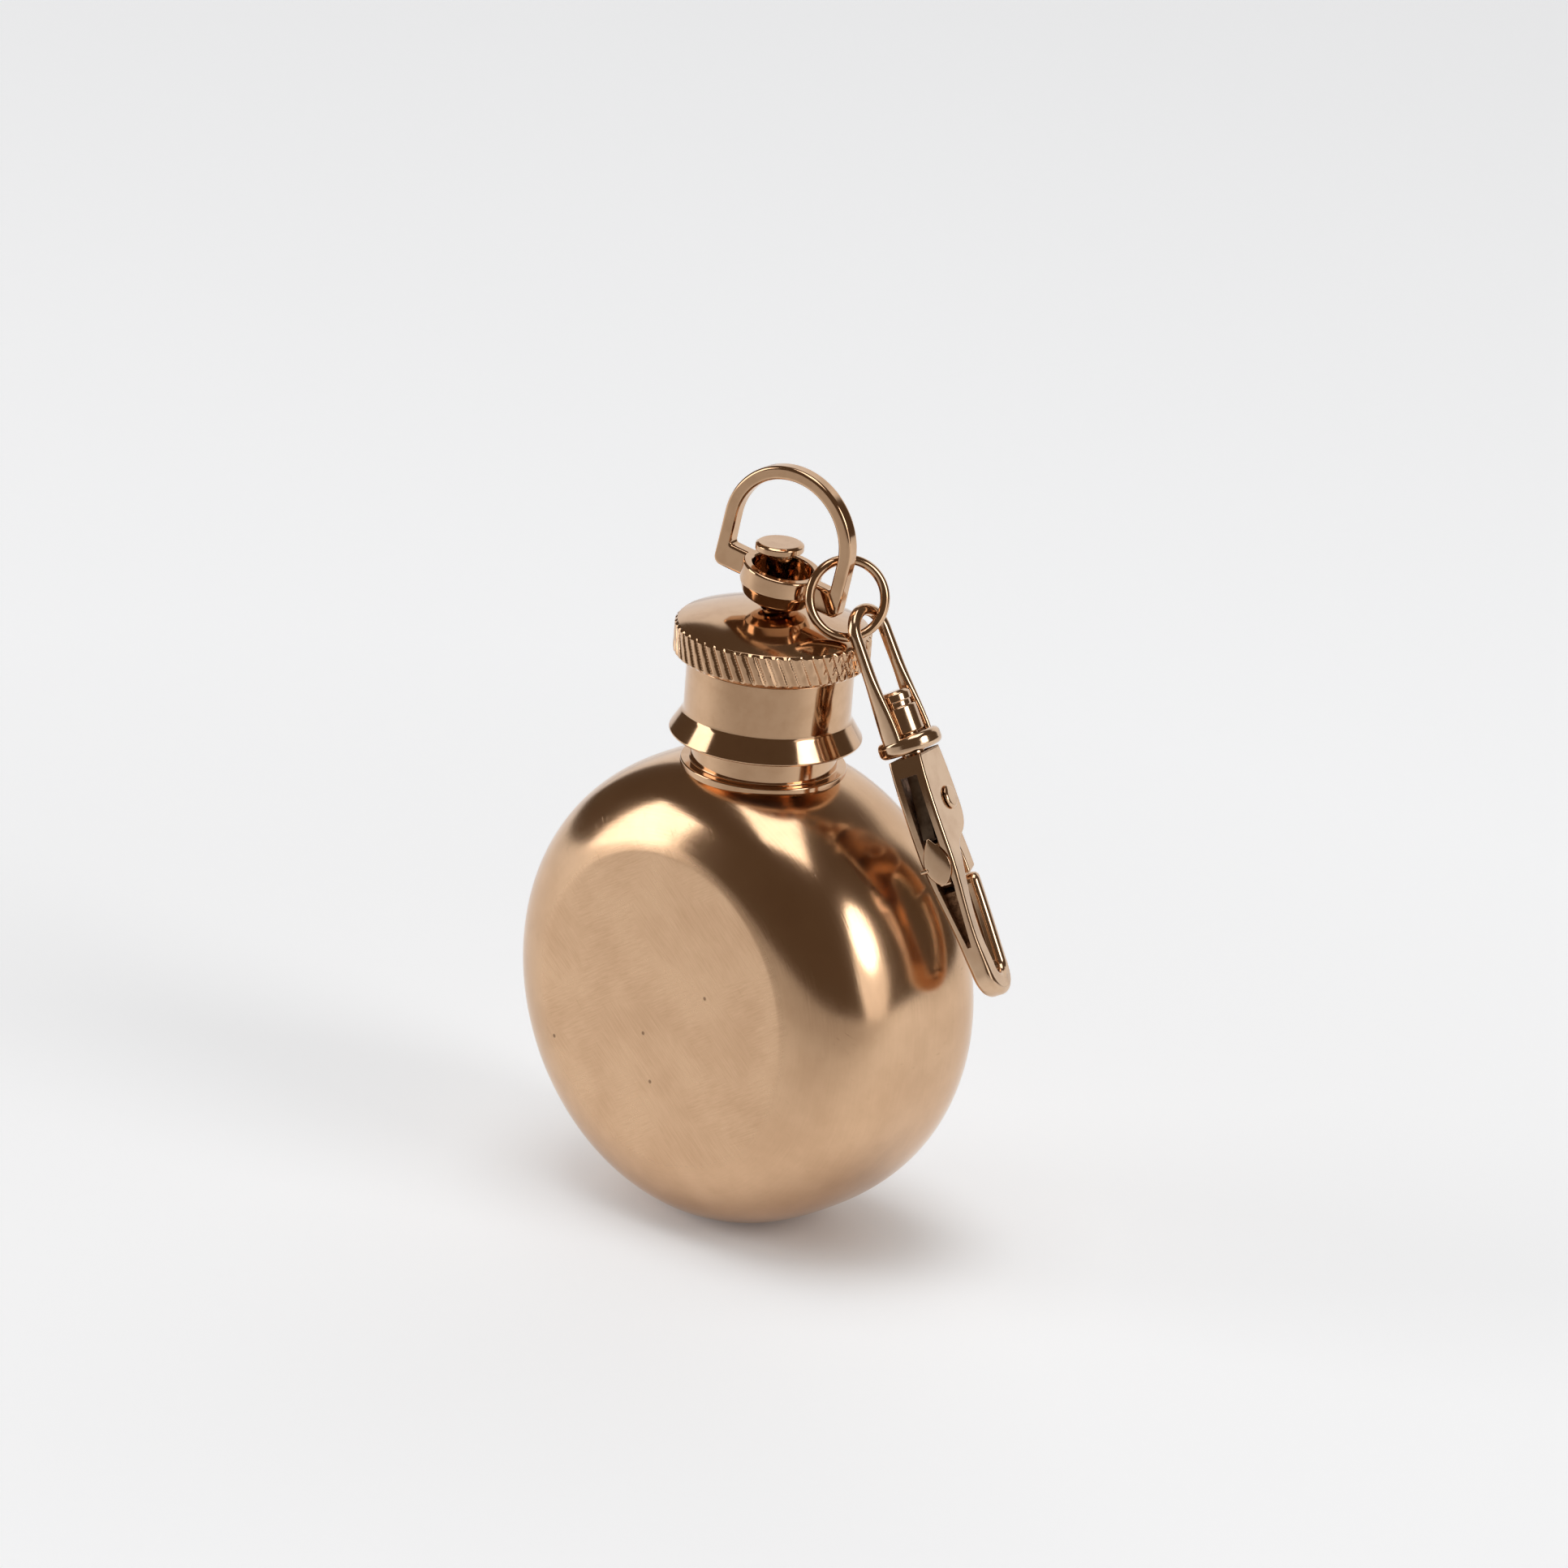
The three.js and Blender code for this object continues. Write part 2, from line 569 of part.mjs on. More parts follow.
// The gate lever: one leg closes the hook, the other lies in the channel and ends in a thumb tab.
function claspGate() {
  const tailIn = spineIn - channelWeb - gateGap;
  const tab = spineOut - gateTabStand;
  const hub = slotRoof - gateGap;
  const crotch = pivot.y - gateReach * 0.36;
  const tabTop = pivot.y - gateReach * 0.5;
  const tabLow = pivot.y - gateReach;
  const tipOut = noseOut - hookBevel / 2;
  const tipIn = tipOut - gateLeg;
  const outline = new THREE.Shape();
  outline.moveTo(pivot.x + hub * 0.8, pivot.y + hub * 0.6);
  outline.quadraticCurveTo(pivot.x, pivot.y + hub * 1.4, pivot.x - hub * 0.8, pivot.y + hub * 0.6);
  outline.lineTo((tailIn + spineOut) / 2, tabTop);
  outline.lineTo(tab, tabTop - gateLeg / 2);
  outline.lineTo(tab, tabTop - gateLeg);
  outline.lineTo(spineOut + gateGap, tabLow);
  outline.lineTo(tailIn, tabLow);
  outline.lineTo(tailIn, tabTop);
  outline.lineTo(pivot.x - gateLeg / 2, crotch);
  outline.quadraticCurveTo(tipIn, crotch - gateLeg / 2, tipIn, below(tipIn, gateReach));
  outline.lineTo(tipOut, below(tipOut, gateReach));
  outline.quadraticCurveTo(tipOut, pivot.y - gateLeg, pivot.x + hub * 0.8, pivot.y + hub * 0.6);
  const hole = new THREE.Path();
  hole.absarc(pivot.x, pivot.y, gatePinDiameter / 2 + pivotGap, 0, 2 * Math.PI, true);
  outline.holes.push(hole);
  return piece("clasp_gate", plate(outline, gateThickness), polished);
}

// The gate pin: a rivet along x through both cheeks, with a flat head on each.
function gatePin() {
  const shank = gatePinDiameter / 2;
  const head = gatePinHead / 2;
  const seat = hookThickness / 2 + seatGap;
  const end = seat + gatePinHeadHeight;
  const form = turned([
    [0, -end], [head * 0.8, -end], [head, -seat], [shank, -seat],
    [shank, seat], [head, seat], [head * 0.8, end], [0, end],
  ], 20);
  return piece("gate_pin", form.rotateY(Math.PI / 2).translate(0, pivot.x, pivot.y), polished);
}

// The gate spring: a bowed leaf between the roof of the slot and the back of the gate.
function gateSpring() {
  const hub = slotRoof - gateGap;
  const top = v2(pivot.x - hub - gateGap - springThickness, slotTop - seatGap);
  const low = v2(spineOut + gateGap, pivot.y - gateReach * 0.42);
  const bow = v2(top.x - springThickness, (top.y + pivot.y) / 2);
  const outline = new THREE.Shape();
  outline.moveTo(top.x, top.y);
  outline.quadraticCurveTo(bow.x, bow.y, low.x, low.y);
  outline.lineTo(low.x - springThickness, low.y + springThickness);
  outline.quadraticCurveTo(bow.x - springThickness, bow.y + springThickness,
    top.x - springThickness * 1.4, top.y);
  outline.closePath();
  return piece("gate_spring", plate(outline, springWidth), steel);
}

// Scene graph: each group stands at the pivot of what it carries.
const flask = new THREE.Group();
flask.name = "keychain_flask";
flask.add(shell("front_shell", -1), shell("rear_shell", 1), neck());

const capGroup = new THREE.Group();
capGroup.name = "cap_group";
capGroup.add(cap(), capLiner(), swivelRivet(), rivetWasher());
flask.add(capGroup);

const turnGroup = new THREE.Group();
turnGroup.name = "turn_group";
turnGroup.rotation.z = bailYaw;
capGroup.add(turnGroup);

const rockGroup = new THREE.Group();
rockGroup.name = "rock_group";
rockGroup.position.z = pivotLevel;
rockGroup.rotation.y = bailTilt;
rockGroup.add(bail());
turnGroup.add(rockGroup);

const ringGroup = new THREE.Group();
ringGroup.name = "ring_group";
const ringDrop = ringRadius * Math.cos(ringLean) + ringWire / 2;
ringGroup.position.set(bailWidth / 2 + ringBeyond, ringBehind, capTop + ringClear + ringDrop);
ringGroup.rotation.set(-ringLean, 0, ringTwist, "ZYX");
ringGroup.add(jumpRing());
turnGroup.add(ringGroup);

// The eye of the clasp hangs inside the ring, and the clasp leans out until it clears the body.
flask.updateMatrixWorld(true);
const hangRadius = ringRadius - ringWire / 2 - linkGap - eyeWire / 2;
const hangPoint = ringGroup.localToWorld(
  new THREE.Vector3(hangRadius * Math.cos(ringHang), 0, hangRadius * Math.sin(ringHang)));
const along = hangPoint.x * Math.cos(claspAzimuth) + hangPoint.y * Math.sin(claspAzimuth);
const aside = hangPoint.y * Math.cos(claspAzimuth) - hangPoint.x * Math.sin(claspAzimuth);
const above = hangPoint.z - bodyCentre;
const clear = Math.sqrt((bodyRadius + claspStandoff) ** 2 - aside ** 2);
const claspLean = Math.asin(clear / Math.hypot(along, above)) - Math.atan2(along, above);

const claspGroup = new THREE.Group();
claspGroup.name = "clasp_group";
claspGroup.position.copy(hangPoint);
claspGroup.rotation.set(0, -claspLean, claspAzimuth, "ZYX");
claspGroup.add(claspEye());
flask.add(claspGroup);

const hookGroup = new THREE.Group();
hookGroup.name = "hook_group";
hookGroup.rotation.z = claspRoll;
hookGroup.add(swivelPin(), claspHook(), claspGate(), gatePin(), gateSpring());
claspGroup.add(hookGroup);

export default flask;
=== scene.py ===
"""Looks of the keychain flask: pressed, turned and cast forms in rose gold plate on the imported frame.

Sizes are millimetres in the part's own frame, with X across the flask, Y from its front face to its
back and Z up from the flat foot. Meshes are written in metres.
"""

from __future__ import annotations

import logging
import math
from dataclasses import dataclass, field
from enum import Enum

import bmesh
import bpy
import numpy as np
from mathutils import Matrix, Vector

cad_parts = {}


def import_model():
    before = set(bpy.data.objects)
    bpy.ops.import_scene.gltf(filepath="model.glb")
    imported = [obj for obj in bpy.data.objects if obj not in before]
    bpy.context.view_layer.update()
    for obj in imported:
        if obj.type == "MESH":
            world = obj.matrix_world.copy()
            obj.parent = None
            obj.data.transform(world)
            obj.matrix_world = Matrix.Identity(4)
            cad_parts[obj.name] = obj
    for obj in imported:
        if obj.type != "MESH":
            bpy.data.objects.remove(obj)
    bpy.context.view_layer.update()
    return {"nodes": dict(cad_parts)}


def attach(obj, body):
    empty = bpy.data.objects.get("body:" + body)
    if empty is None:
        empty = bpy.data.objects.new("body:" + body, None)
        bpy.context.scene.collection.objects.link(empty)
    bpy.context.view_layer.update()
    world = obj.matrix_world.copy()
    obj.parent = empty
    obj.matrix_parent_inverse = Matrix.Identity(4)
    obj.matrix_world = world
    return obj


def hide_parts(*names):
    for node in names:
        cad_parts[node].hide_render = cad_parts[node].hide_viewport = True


log = logging.getLogger("flask")
Array = np.ndarray
Sizes = Array | float
Corners = list[tuple[float, float, float]]
Colour = tuple[float, float, float, float]
MM = 0.001
# Metres within which two points are one, and under which an edge is dropped.
WELD = 1.5e-6
SLIVER = 1e-7
# Share of the shorter side that a fillet may take, and the turn in radians that needs none.
FILLET_ROOM = 0.45
STRAIGHT = 0.02
# How far the ends of a wire stand out, as a share of its half thickness.
TUBE_END = 0.6


class Axis(Enum):
    """An axis of the part's frame."""

    X = 0
    Y = 1
    Z = 2


class Cut(Enum):
    """How a second form is combined with a piece."""

    TAKE_OFF = "DIFFERENCE"
    JOIN = "UNION"


class Slot(Enum):
    """Names of material slots, passed with each piece's finish but not used."""

    BRUSHED = "brushed_plate"
    POLISHED = "polished_plate"


class Outline(Enum):
    """The outline of a soft light, with the share of its rectangle that it fills."""

    RECTANGLE = 1.0
    ELLIPSE = math.pi / 4


def shift(x: float = 0.0, y: float = 0.0, z: float = 0.0) -> Array:
    """Returns the matrix of a move."""
    place = np.eye(4)
    place[:3, 3] = x, y, z
    return place


def spin(axis: Axis, degrees: float) -> Array:
    """Returns the matrix of a right-handed turn about an axis."""
    return np.array(Matrix.Rotation(math.radians(degrees), 4, axis.name))


def smooth(value: Array, low: float, high: float) -> Array:
    """Returns 3t^2 - 2t^3, where t is how far a value is from low to high."""
    t = np.clip((value - low) / (high - low), 0.0, 1.0)
    return t * t * (3.0 - 2.0 * t)


def circle(count: int) -> Array:
    """Returns angles at equal steps round a full turn."""
    return np.linspace(0.0, 2 * math.pi, count, endpoint=False)


def units(rows: Array) -> Array:
    """Returns each row divided by its length."""
    return rows / np.linalg.norm(rows, axis=1, keepdims=True)


def stations(sizes: Sizes, count: int) -> Array:
    """Returns a column with a size for each station, from one number or from one for each."""
    return np.broadcast_to(np.asarray(sizes, float).reshape(-1, 1), (count, 1))


def bent(start: tuple, control: tuple, end: tuple, count: int) -> Array:
    """Returns points of a quadratic curve, (1-t)^2 start + 2t(1-t) control + t^2 end."""
    t = np.linspace(0.0, 1.0, count)[:, None]
    return (1 - t) ** 2 * np.array(start) + 2 * t * (1 - t) * np.array(control) + t**2 * np.array(end)


def even(path: Array, count: int) -> Array:
    """Points at equal steps of length along a path.

    Args:
        path: Points in order, any number of columns.
        count: Number of points to give back.

    Returns:
        The new points, with both ends kept.
    """
    along = np.concatenate([[0.0], np.cumsum(np.linalg.norm(np.diff(path, axis=0), axis=1))])
    wanted = np.linspace(0.0, along[-1], count)
    return np.stack([np.interp(wanted, along, column) for column in path.T], axis=1)


def rounded(corners: Corners, closed: bool, steps: int = 5) -> Array:
    """A polyline whose corners are arcs: each arc runs about the point at equal distance from both sides.

    A fillet takes at most FILLET_ROOM of the shorter side; a turn under STRAIGHT radians gets none.

    Args:
        corners: Radius, height and fillet of each corner, in order.
        closed: Whether the last corner leads back to the first.
        steps: Spans in each fillet.

    Returns:
        Points of the profile, two columns, with a support point beside each fillet.
    """
    at = np.array(corners, float)[:, :2]
    count = len(at)
    runs = []
    for i, (_, _, fillet) in enumerate(corners):
        if fillet <= 0 or (not closed and i in (0, count - 1)):
            runs.append(at[i : i + 1])
            continue
        back, ahead = at[i - 1] - at[i], at[(i + 1) % count] - at[i]
        room = FILLET_ROOM * min(np.linalg.norm(back), np.linalg.norm(ahead))
        back, ahead = back / np.linalg.norm(back), ahead / np.linalg.norm(ahead)
        turn = math.pi - math.acos(np.clip(back @ ahead, -1.0, 1.0))
        if turn < STRAIGHT:
            runs.append(at[i : i + 1])
            continue
        reach = min(fillet * math.tan(turn / 2), room)
        size = reach / math.tan(turn / 2)
        middle = at[i] + (back + ahead) / np.linalg.norm(back + ahead) * size / math.cos(turn / 2)
        first, last = at[i] + back * reach - middle, at[i] + ahead * reach - middle
        share = np.linspace(0.0, 1.0, steps + 1)[:, None]
        arc = (np.sin((1 - share) * turn) * first + np.sin(share * turn) * last) / math.sin(turn)
        ease = min(0.05, 0.08 * room)
        runs.append(np.vstack([at[i] + back * (reach + ease), middle + arc, at[i] + ahead * (reach + ease)]))
    return np.vstack(runs)


def turned_grid(profile: Array, segments: int) -> Array:
    """A profile of radius and height carried round Z: (r cos a, r sin a, z).

    Args:
        profile: Points, two columns.
        segments: Columns round the axis.

    Returns:
        An array of rows by columns by three.
    """
    angle = circle(segments)
    radius, height = profile[:, :1], profile[:, 1:2]
    return np.stack([radius * np.cos(angle), radius * np.sin(angle), height + 0 * angle], axis=-1)


@dataclass
class Form:
    """A surface of points in millimetres and the quads between them."""

    points: Array
    quads: Array

    @classmethod
    def of_grid(cls, grid: Array, wrap_rows: bool = False, wrap_columns: bool = True) -> Form:
        """Quads between neighbours of a grid of points.

        Args:
            grid: Rows by columns by three.
            wrap_rows: Whether the last row meets the first.
            wrap_columns: Whether the last column meets the first.

        Returns:
            The surface.
        """
        rows, columns = grid.shape[:2]
        index = np.arange(rows * columns).reshape(rows, columns)
        if wrap_rows:
            index = np.vstack([index, index[:1]])
        if wrap_columns:
            index = np.hstack([index, index[:, :1]])
        quads = np.stack([index[:-1, :-1], index[:-1, 1:], index[1:, 1:], index[1:, :-1]], axis=-1)
        return cls(grid.reshape(-1, 3), quads.reshape(-1, 4))

    @classmethod
    def of_fans(cls, grid: Array) -> Form:
        """Returns the surface of a grid whose first and last rows are closed by fans about their middles."""
        first, last = (np.broadcast_to(row.mean(axis=0), (1, *row.shape)) for row in (grid[0], grid[-1]))
        return cls.of_grid(np.concatenate([first, grid, last]))

    @classmethod
    def of_bar(cls, grid: Array, first: float, last: float) -> Form:
        """Returns the surface of a bar's sections, both ends closed with edges of the given radii."""
        return cls.of_grid(np.concatenate([ended(grid, 0, 1, first)[::-1], grid, ended(grid, -1, -2, last)]))

    def placed(self, place: Array) -> Form:
        """Returns the surface moved by a matrix."""
        return Form(self.points @ place[:3, :3].T + place[:3, 3], self.quads)

    def __add__(self, other: Form) -> Form:
        """Returns both surfaces as one."""
        quads = np.vstack([self.quads, other.quads + len(self.points)])
        return Form(np.vstack([self.points, other.points]), quads)

    def piece(self, name: str, crease: float = 32.0) -> Piece:
        """Writes the surface into a mesh, with doubles merged and faces turned outwards.

        Args:
            name: Name of the object.
            crease: Angle in degrees past which an edge is sharp.

        Returns:
            The piece, not yet dressed.
        """
        mesh = bpy.data.meshes.new(name)
        mesh.from_pydata((self.points * MM).tolist(), [], self.quads.tolist())
        work = bmesh.new()
        work.from_mesh(mesh)
        bmesh.ops.remove_doubles(work, verts=work.verts, dist=WELD)
        bmesh.ops.dissolve_degenerate(work, edges=work.edges, dist=SLIVER)
        bmesh.ops.recalc_face_normals(work, faces=work.faces)
        work.to_mesh(mesh)
        work.free()
        made = bpy.data.objects.new(name, mesh)
        bpy.context.scene.collection.objects.link(made)
        return Piece(made, crease)


@dataclass
class Piece:
    """An object of the scene on its way to being dressed."""

    made: bpy.types.Object
    crease: float

    def combine(self, other: Form, how: Cut, inside: bpy.types.Material | None = None) -> Piece:
        """Joins a closed form to the piece or takes it off.

        Args:
            other: The second form.
            how: Join or take off.
            inside: Material of the faces that the second form leaves.

        Returns:
            The piece itself.
        """
        tool = other.piece("tool").made
        if inside is not None:
            tool.data.materials.append(inside)
        change = self.made.modifiers.new("change", "BOOLEAN")
        change.operation, change.solver, change.object = how.value, "MANIFOLD", tool
        change.material_mode = "TRANSFER"
        graph = bpy.context.evaluated_depsgraph_get()
        mesh = bpy.data.meshes.new_from_object(self.made.evaluated_get(graph), depsgraph=graph)
        self.made.modifiers.clear()
        old, self.made.data = self.made.data, mesh
        mesh.name = self.made.name
        bpy.data.meshes.remove(old)
        tool_mesh = tool.data
        bpy.data.objects.remove(tool)
        bpy.data.meshes.remove(tool_mesh)
        return self

    def dress(self, finish: Finish, slot: Slot, body: str, *nodes: str) -> None:
        """Gives the piece its finish, the body that it rides on and the nodes that it stands for.

        Args:
            finish: The finish of its surface.
            slot: Material slot; not used.
            body: Name of the body.
            *nodes: Names of the nodes.
        """
        mesh = self.made.data
        if len(mesh.materials) == 0:
            mesh.materials.append(None)
        mesh.materials[0] = finish.material()
        mesh.polygons.foreach_set("use_smooth", np.ones(len(mesh.polygons), bool))
        mesh.set_sharp_from_angle(angle=math.radians(self.crease))
        mesh.update()
        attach(self.made, body)
        if nodes:
            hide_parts(*nodes)
        log.info("%s rides on %s, %d faces", self.made.name, body, len(mesh.polygons))


def turned(corners: Corners, segments: int, closed: bool = False) -> Form:
    """Returns the rounded profile of its corners carried round Z; it is a loop for a piece with a bore."""
    return Form.of_grid(turned_grid(rounded(corners, closed), segments), wrap_rows=closed)


def plug(radius: float, low: float, high: float, segments: int, fillet: float = 0.0) -> Form:
    """Returns a solid cylinder about Z."""
    return turned([(0, low, 0), (radius, low, fillet), (radius, high, fillet), (0, high, 0)], segments)


def prism(outline: Array, half: Array) -> Form:
    """Returns a plate with its outline in (y, z) and a half width along x for each corner."""
    return Form.of_fans(np.stack([np.column_stack([-half, outline]), np.column_stack([half, outline])]))


def strip(outer: Array, inner: Array, depth: Sizes, fillet: Sizes, closed: bool) -> Form:
    """A bar with rounded edges between two curves of the (y, z) plane.

    At each station the section is a rounded rectangle: its long side joins the two curves, its short
    side lies along x. A point is middle + u (outer - inner) / length + v x. An open bar is closed at its
    ends by rows that shrink along a quarter circle.

    Args:
        outer: Stations of the outer curve, two columns.
        inner: Matching stations of the inner curve.
        depth: Width along x, one number or one for each station.
        fillet: Radius of the edges, one number or one for each station.
        closed: Whether the last station meets the first.

    Returns:
        The surface.
    """
    across = outer - inner
    length = np.linalg.norm(across, axis=1, keepdims=True)
    across = across / length
    depth, fillet = stations(depth, len(length)), stations(fillet, len(length))
    quarter = np.concatenate([[0.0], np.linspace(0.0, math.pi / 2, 5), [math.pi / 2]])
    turn = np.concatenate([quarter + k * math.pi / 2 for k in range(4)])
    ease = 0.06
    first = np.concatenate([[ease], np.zeros(6)])
    last = first[::-1]
    along_u = np.concatenate([last, first, last, first])
    along_v = np.concatenate([first, last, first, last])
    side_u = np.repeat([1, -1, -1, 1], len(quarter))
    side_v = np.repeat([1, 1, -1, -1], len(quarter))
    u = side_u * (length / 2 - fillet - along_u) + fillet * np.cos(turn)
    v = side_v * (depth / 2 - fillet - along_v) + fillet * np.sin(turn)
    plane = ((outer + inner) / 2)[:, None, :] + u[:, :, None] * across[:, None, :]
    grid = np.concatenate([v[:, :, None], plane], axis=2)
    if closed:
        return Form.of_grid(grid, wrap_rows=True)
    return Form.of_bar(grid, float(fillet[0, 0]), float(fillet[-1, 0]))


def ended(grid: Array, end: int, before: int, fillet: float) -> Array:
    """Rows that close one end of a bar: the last section moves on by sin f and shrinks by 1 - cos f.

    Args:
        grid: Sections of the bar.
        end: Index of its last section.
        before: Index of the section before it.
        fillet: Radius of the end's edge.

    Returns:
        The rows, the last of them a single point.
    """
    section = grid[end]
    middle = section.mean(axis=0)
    onward = middle - grid[before].mean(axis=0)
    onward = onward / np.linalg.norm(onward)
    reach = np.linalg.norm(section - middle, axis=1).min()
    bow = np.radians([20.0, 45.0, 70.0, 90.0])[:, None, None]
    shrink = 1 - fillet / reach * (1 - np.cos(bow))
    rows = middle + (section - middle) * shrink + onward * fillet * np.sin(bow)
    return np.concatenate([rows, np.broadcast_to(middle + onward * fillet, (1, *section.shape))])


def tube(path: Array, side: tuple, thin: Sizes, broad: Sizes, sides: int, square: float = 2.0) -> Form:
    """A wire along a plane path: path + thin c(a) n + broad s(a) side, with c and s of a superellipse.

    Args:
        path: Points of its middle line, three columns.
        side: Direction square to the plane of the path.
        thin: Half thickness in the plane, one number or one for each point.
        broad: Half width along side.
        sides: Columns round the wire.
        square: Power of the superellipse, 2 for a round wire.

    Returns:
        The closed surface; its ends stand out by TUBE_END of the least half thickness.
    """
    out = np.cross(units(np.gradient(path, axis=0)), np.array(side))
    angle = circle(sides)
    fold = [np.sign(f) * np.abs(f) ** (2 / square) for f in (np.cos(angle), np.sin(angle))]
    thin, broad = stations(thin, len(path)), stations(broad, len(path))
    grid = (
        path[:, None, :]
        + (thin * fold[0])[:, :, None] * out[:, None, :]
        + (broad * fold[1])[:, :, None] * np.array(side, float)
    )
    ends = TUBE_END * float(min(thin.min(), broad.min()))
    return Form.of_bar(grid, ends, ends)


class Signal:
    """A shader socket; arithmetic on it adds Math nodes."""

    def __init__(self, graph: Graph, socket: bpy.types.NodeSocket) -> None:
        """Keeps the graph and the socket."""
        self.graph = graph
        self.socket = socket

    def output(self, name: str) -> Signal:
        """Returns another output of the same node."""
        return Signal(self.graph, self.socket.node.outputs[name])

    def _math(self, operation: str, first: Signal | float, second: Signal | float) -> Signal:
        """Returns a Math node's result."""
        return self.graph.node("ShaderNodeMath", {"operation": operation}, {0: first, 1: second})

    def __add__(self, other: Signal | float) -> Signal:
        """Returns self + other."""
        return self._math("ADD", self, other)

    def __radd__(self, other: float) -> Signal:
        """Returns other + self."""
        return self._math("ADD", other, self)

    def __sub__(self, other: Signal | float) -> Signal:
        """Returns self - other."""
        return self._math("SUBTRACT", self, other)

    def __rsub__(self, other: float) -> Signal:
        """Returns other - self."""
        return self._math("SUBTRACT", other, self)

    def __mul__(self, other: Signal | float) -> Signal:
        """Returns self * other."""
        return self._math("MULTIPLY", self, other)

    def __pow__(self, other: float) -> Signal:
        """Returns self to the power of other."""
        return self._math("POWER", self, other)

    def __abs__(self) -> Signal:
        """Returns the size of self."""
        return self._math("ABSOLUTE", self, 0.0)

    def bearing(self, other: Signal) -> Signal:
        """Returns the angle of the point whose sides are self and other."""
        return self._math("ARCTAN2", self, other)

    def between(self, low: float, high: float) -> Signal:
        """Returns a smooth step from 0 at low to 1 at high."""
        return self.graph.node(
            "ShaderNodeMapRange",
            {"interpolation_type": "SMOOTHSTEP"},
            {"Value": self, "From Min": low, "From Max": high},
        )


class Graph:
    """The nodes of one material or of the world."""

    def __init__(self, tree: bpy.types.NodeTree) -> None:
        """Starts with no nodes."""
        self.tree = tree
        tree.nodes.clear()

    def node(
        self, kind: str, settings: dict | None = None, values: dict | None = None, output: int | str = 0
    ) -> Signal:
        """Adds a node.

        Args:
            kind: Type of the node.
            settings: Its own settings, set first.
            values: Values or links of its sockets, by name or index.
            output: Which output to give back.

        Returns:
            That output, or the first input of a node that has none.
        """
        made = self.tree.nodes.new(kind)
        for key, value in (settings or {}).items():
            setattr(made, key, value)
        for key, value in (values or {}).items():
            if isinstance(value, Signal):
                self.tree.links.new(value.socket, made.inputs[key])
            else:
                made.inputs[key].default_value = value
        return Signal(self, made.outputs[output]) if len(made.outputs) else Signal(self, made.inputs[0])

    def place(self) -> Signal:
        """Returns Object coordinates in millimetres."""
        spot = self.node("ShaderNodeTexCoord", output="Object")
        return self.node("ShaderNodeVectorMath", {"operation": "SCALE"}, {0: spot, "Scale": 1 / MM})

    def sides(self, vector: Signal) -> tuple[Signal, Signal, Signal]:
        """Returns the x, y and z of a vector."""
        split = self.node("ShaderNodeSeparateXYZ", values={0: vector})
        return split, split.output("Y"), split.output("Z")

    def vector(self, x: Signal | float, y: Signal | float, z: Signal | float) -> Signal:
        """Returns the vector of three values."""
        return self.node("ShaderNodeCombineXYZ", values={0: x, 1: y, 2: z})

    def noise(self, at: Signal, scale: float = 1.0, detail: float = 2.0, rough: float = 0.5) -> Signal:
        """Returns noise about 0.5 from its features for each millimetre, its octaves and their strength."""
        values = {"Vector": at, "Scale": scale, "Detail": detail, "Roughness": rough}
        return self.node("ShaderNodeTexNoise", values=values)

    def strokes(self, at: Signal, angle: float, long: float, wide: float) -> Signal:
        """Returns noise drawn out into strokes of a length and width, turned about Y by an angle in degrees."""
        turned_at = self.node(
            "ShaderNodeMapping",
            {"vector_type": "TEXTURE"},
            {"Vector": at, "Rotation": (0.0, math.radians(angle), 0.0), "Scale": (long, 1.0, wide)},
        )
        return self.noise(turned_at, 1.0, 3.0, 0.6)

    def mix(self, share: Signal, first: Signal | Colour, second: Signal | Colour) -> Signal:
        """Returns a colour between two."""
        return self.node("ShaderNodeMix", {"data_type": "RGBA"}, {0: share, 6: first, 7: second}, 2)

    def bump(self, height: Signal, strength: float, depth: float) -> Signal:
        """Returns a normal bent by a height, with its depth in millimetres."""
        return self.node("ShaderNodeBump", values={"Strength": strength, "Distance": depth * MM, "Height": height})

    def shade(self, values: dict) -> None:
        """Adds the surface shader with its values and links it to the output."""
        surface = self.node("ShaderNodeBsdfPrincipled", values=values)
        self.node("ShaderNodeOutputMaterial", values={"Surface": surface})

    def metal(self, colour: Signal, rough: Signal, normal: Signal) -> None:
        """Adds a bare metal surface of that colour, roughness and normal."""
        self.shade({"Base Color": colour, "Metallic": 1.0, "Roughness": rough, "Normal": normal})


@dataclass(frozen=True)
class Finish:
    """A finish: each one writes its own nodes."""

    name: str

    def material(self) -> bpy.types.Material:
        """Returns the finish's material, made once."""
        made = bpy.data.materials.get(self.name)
        if made is None:
            made = bpy.data.materials.new(self.name)
            made.use_nodes = True
            self.draw(Graph(made.node_tree))
        return made

    def draw(self, graph: Graph) -> None:
        """Writes the nodes of the finish."""
        raise NotImplementedError


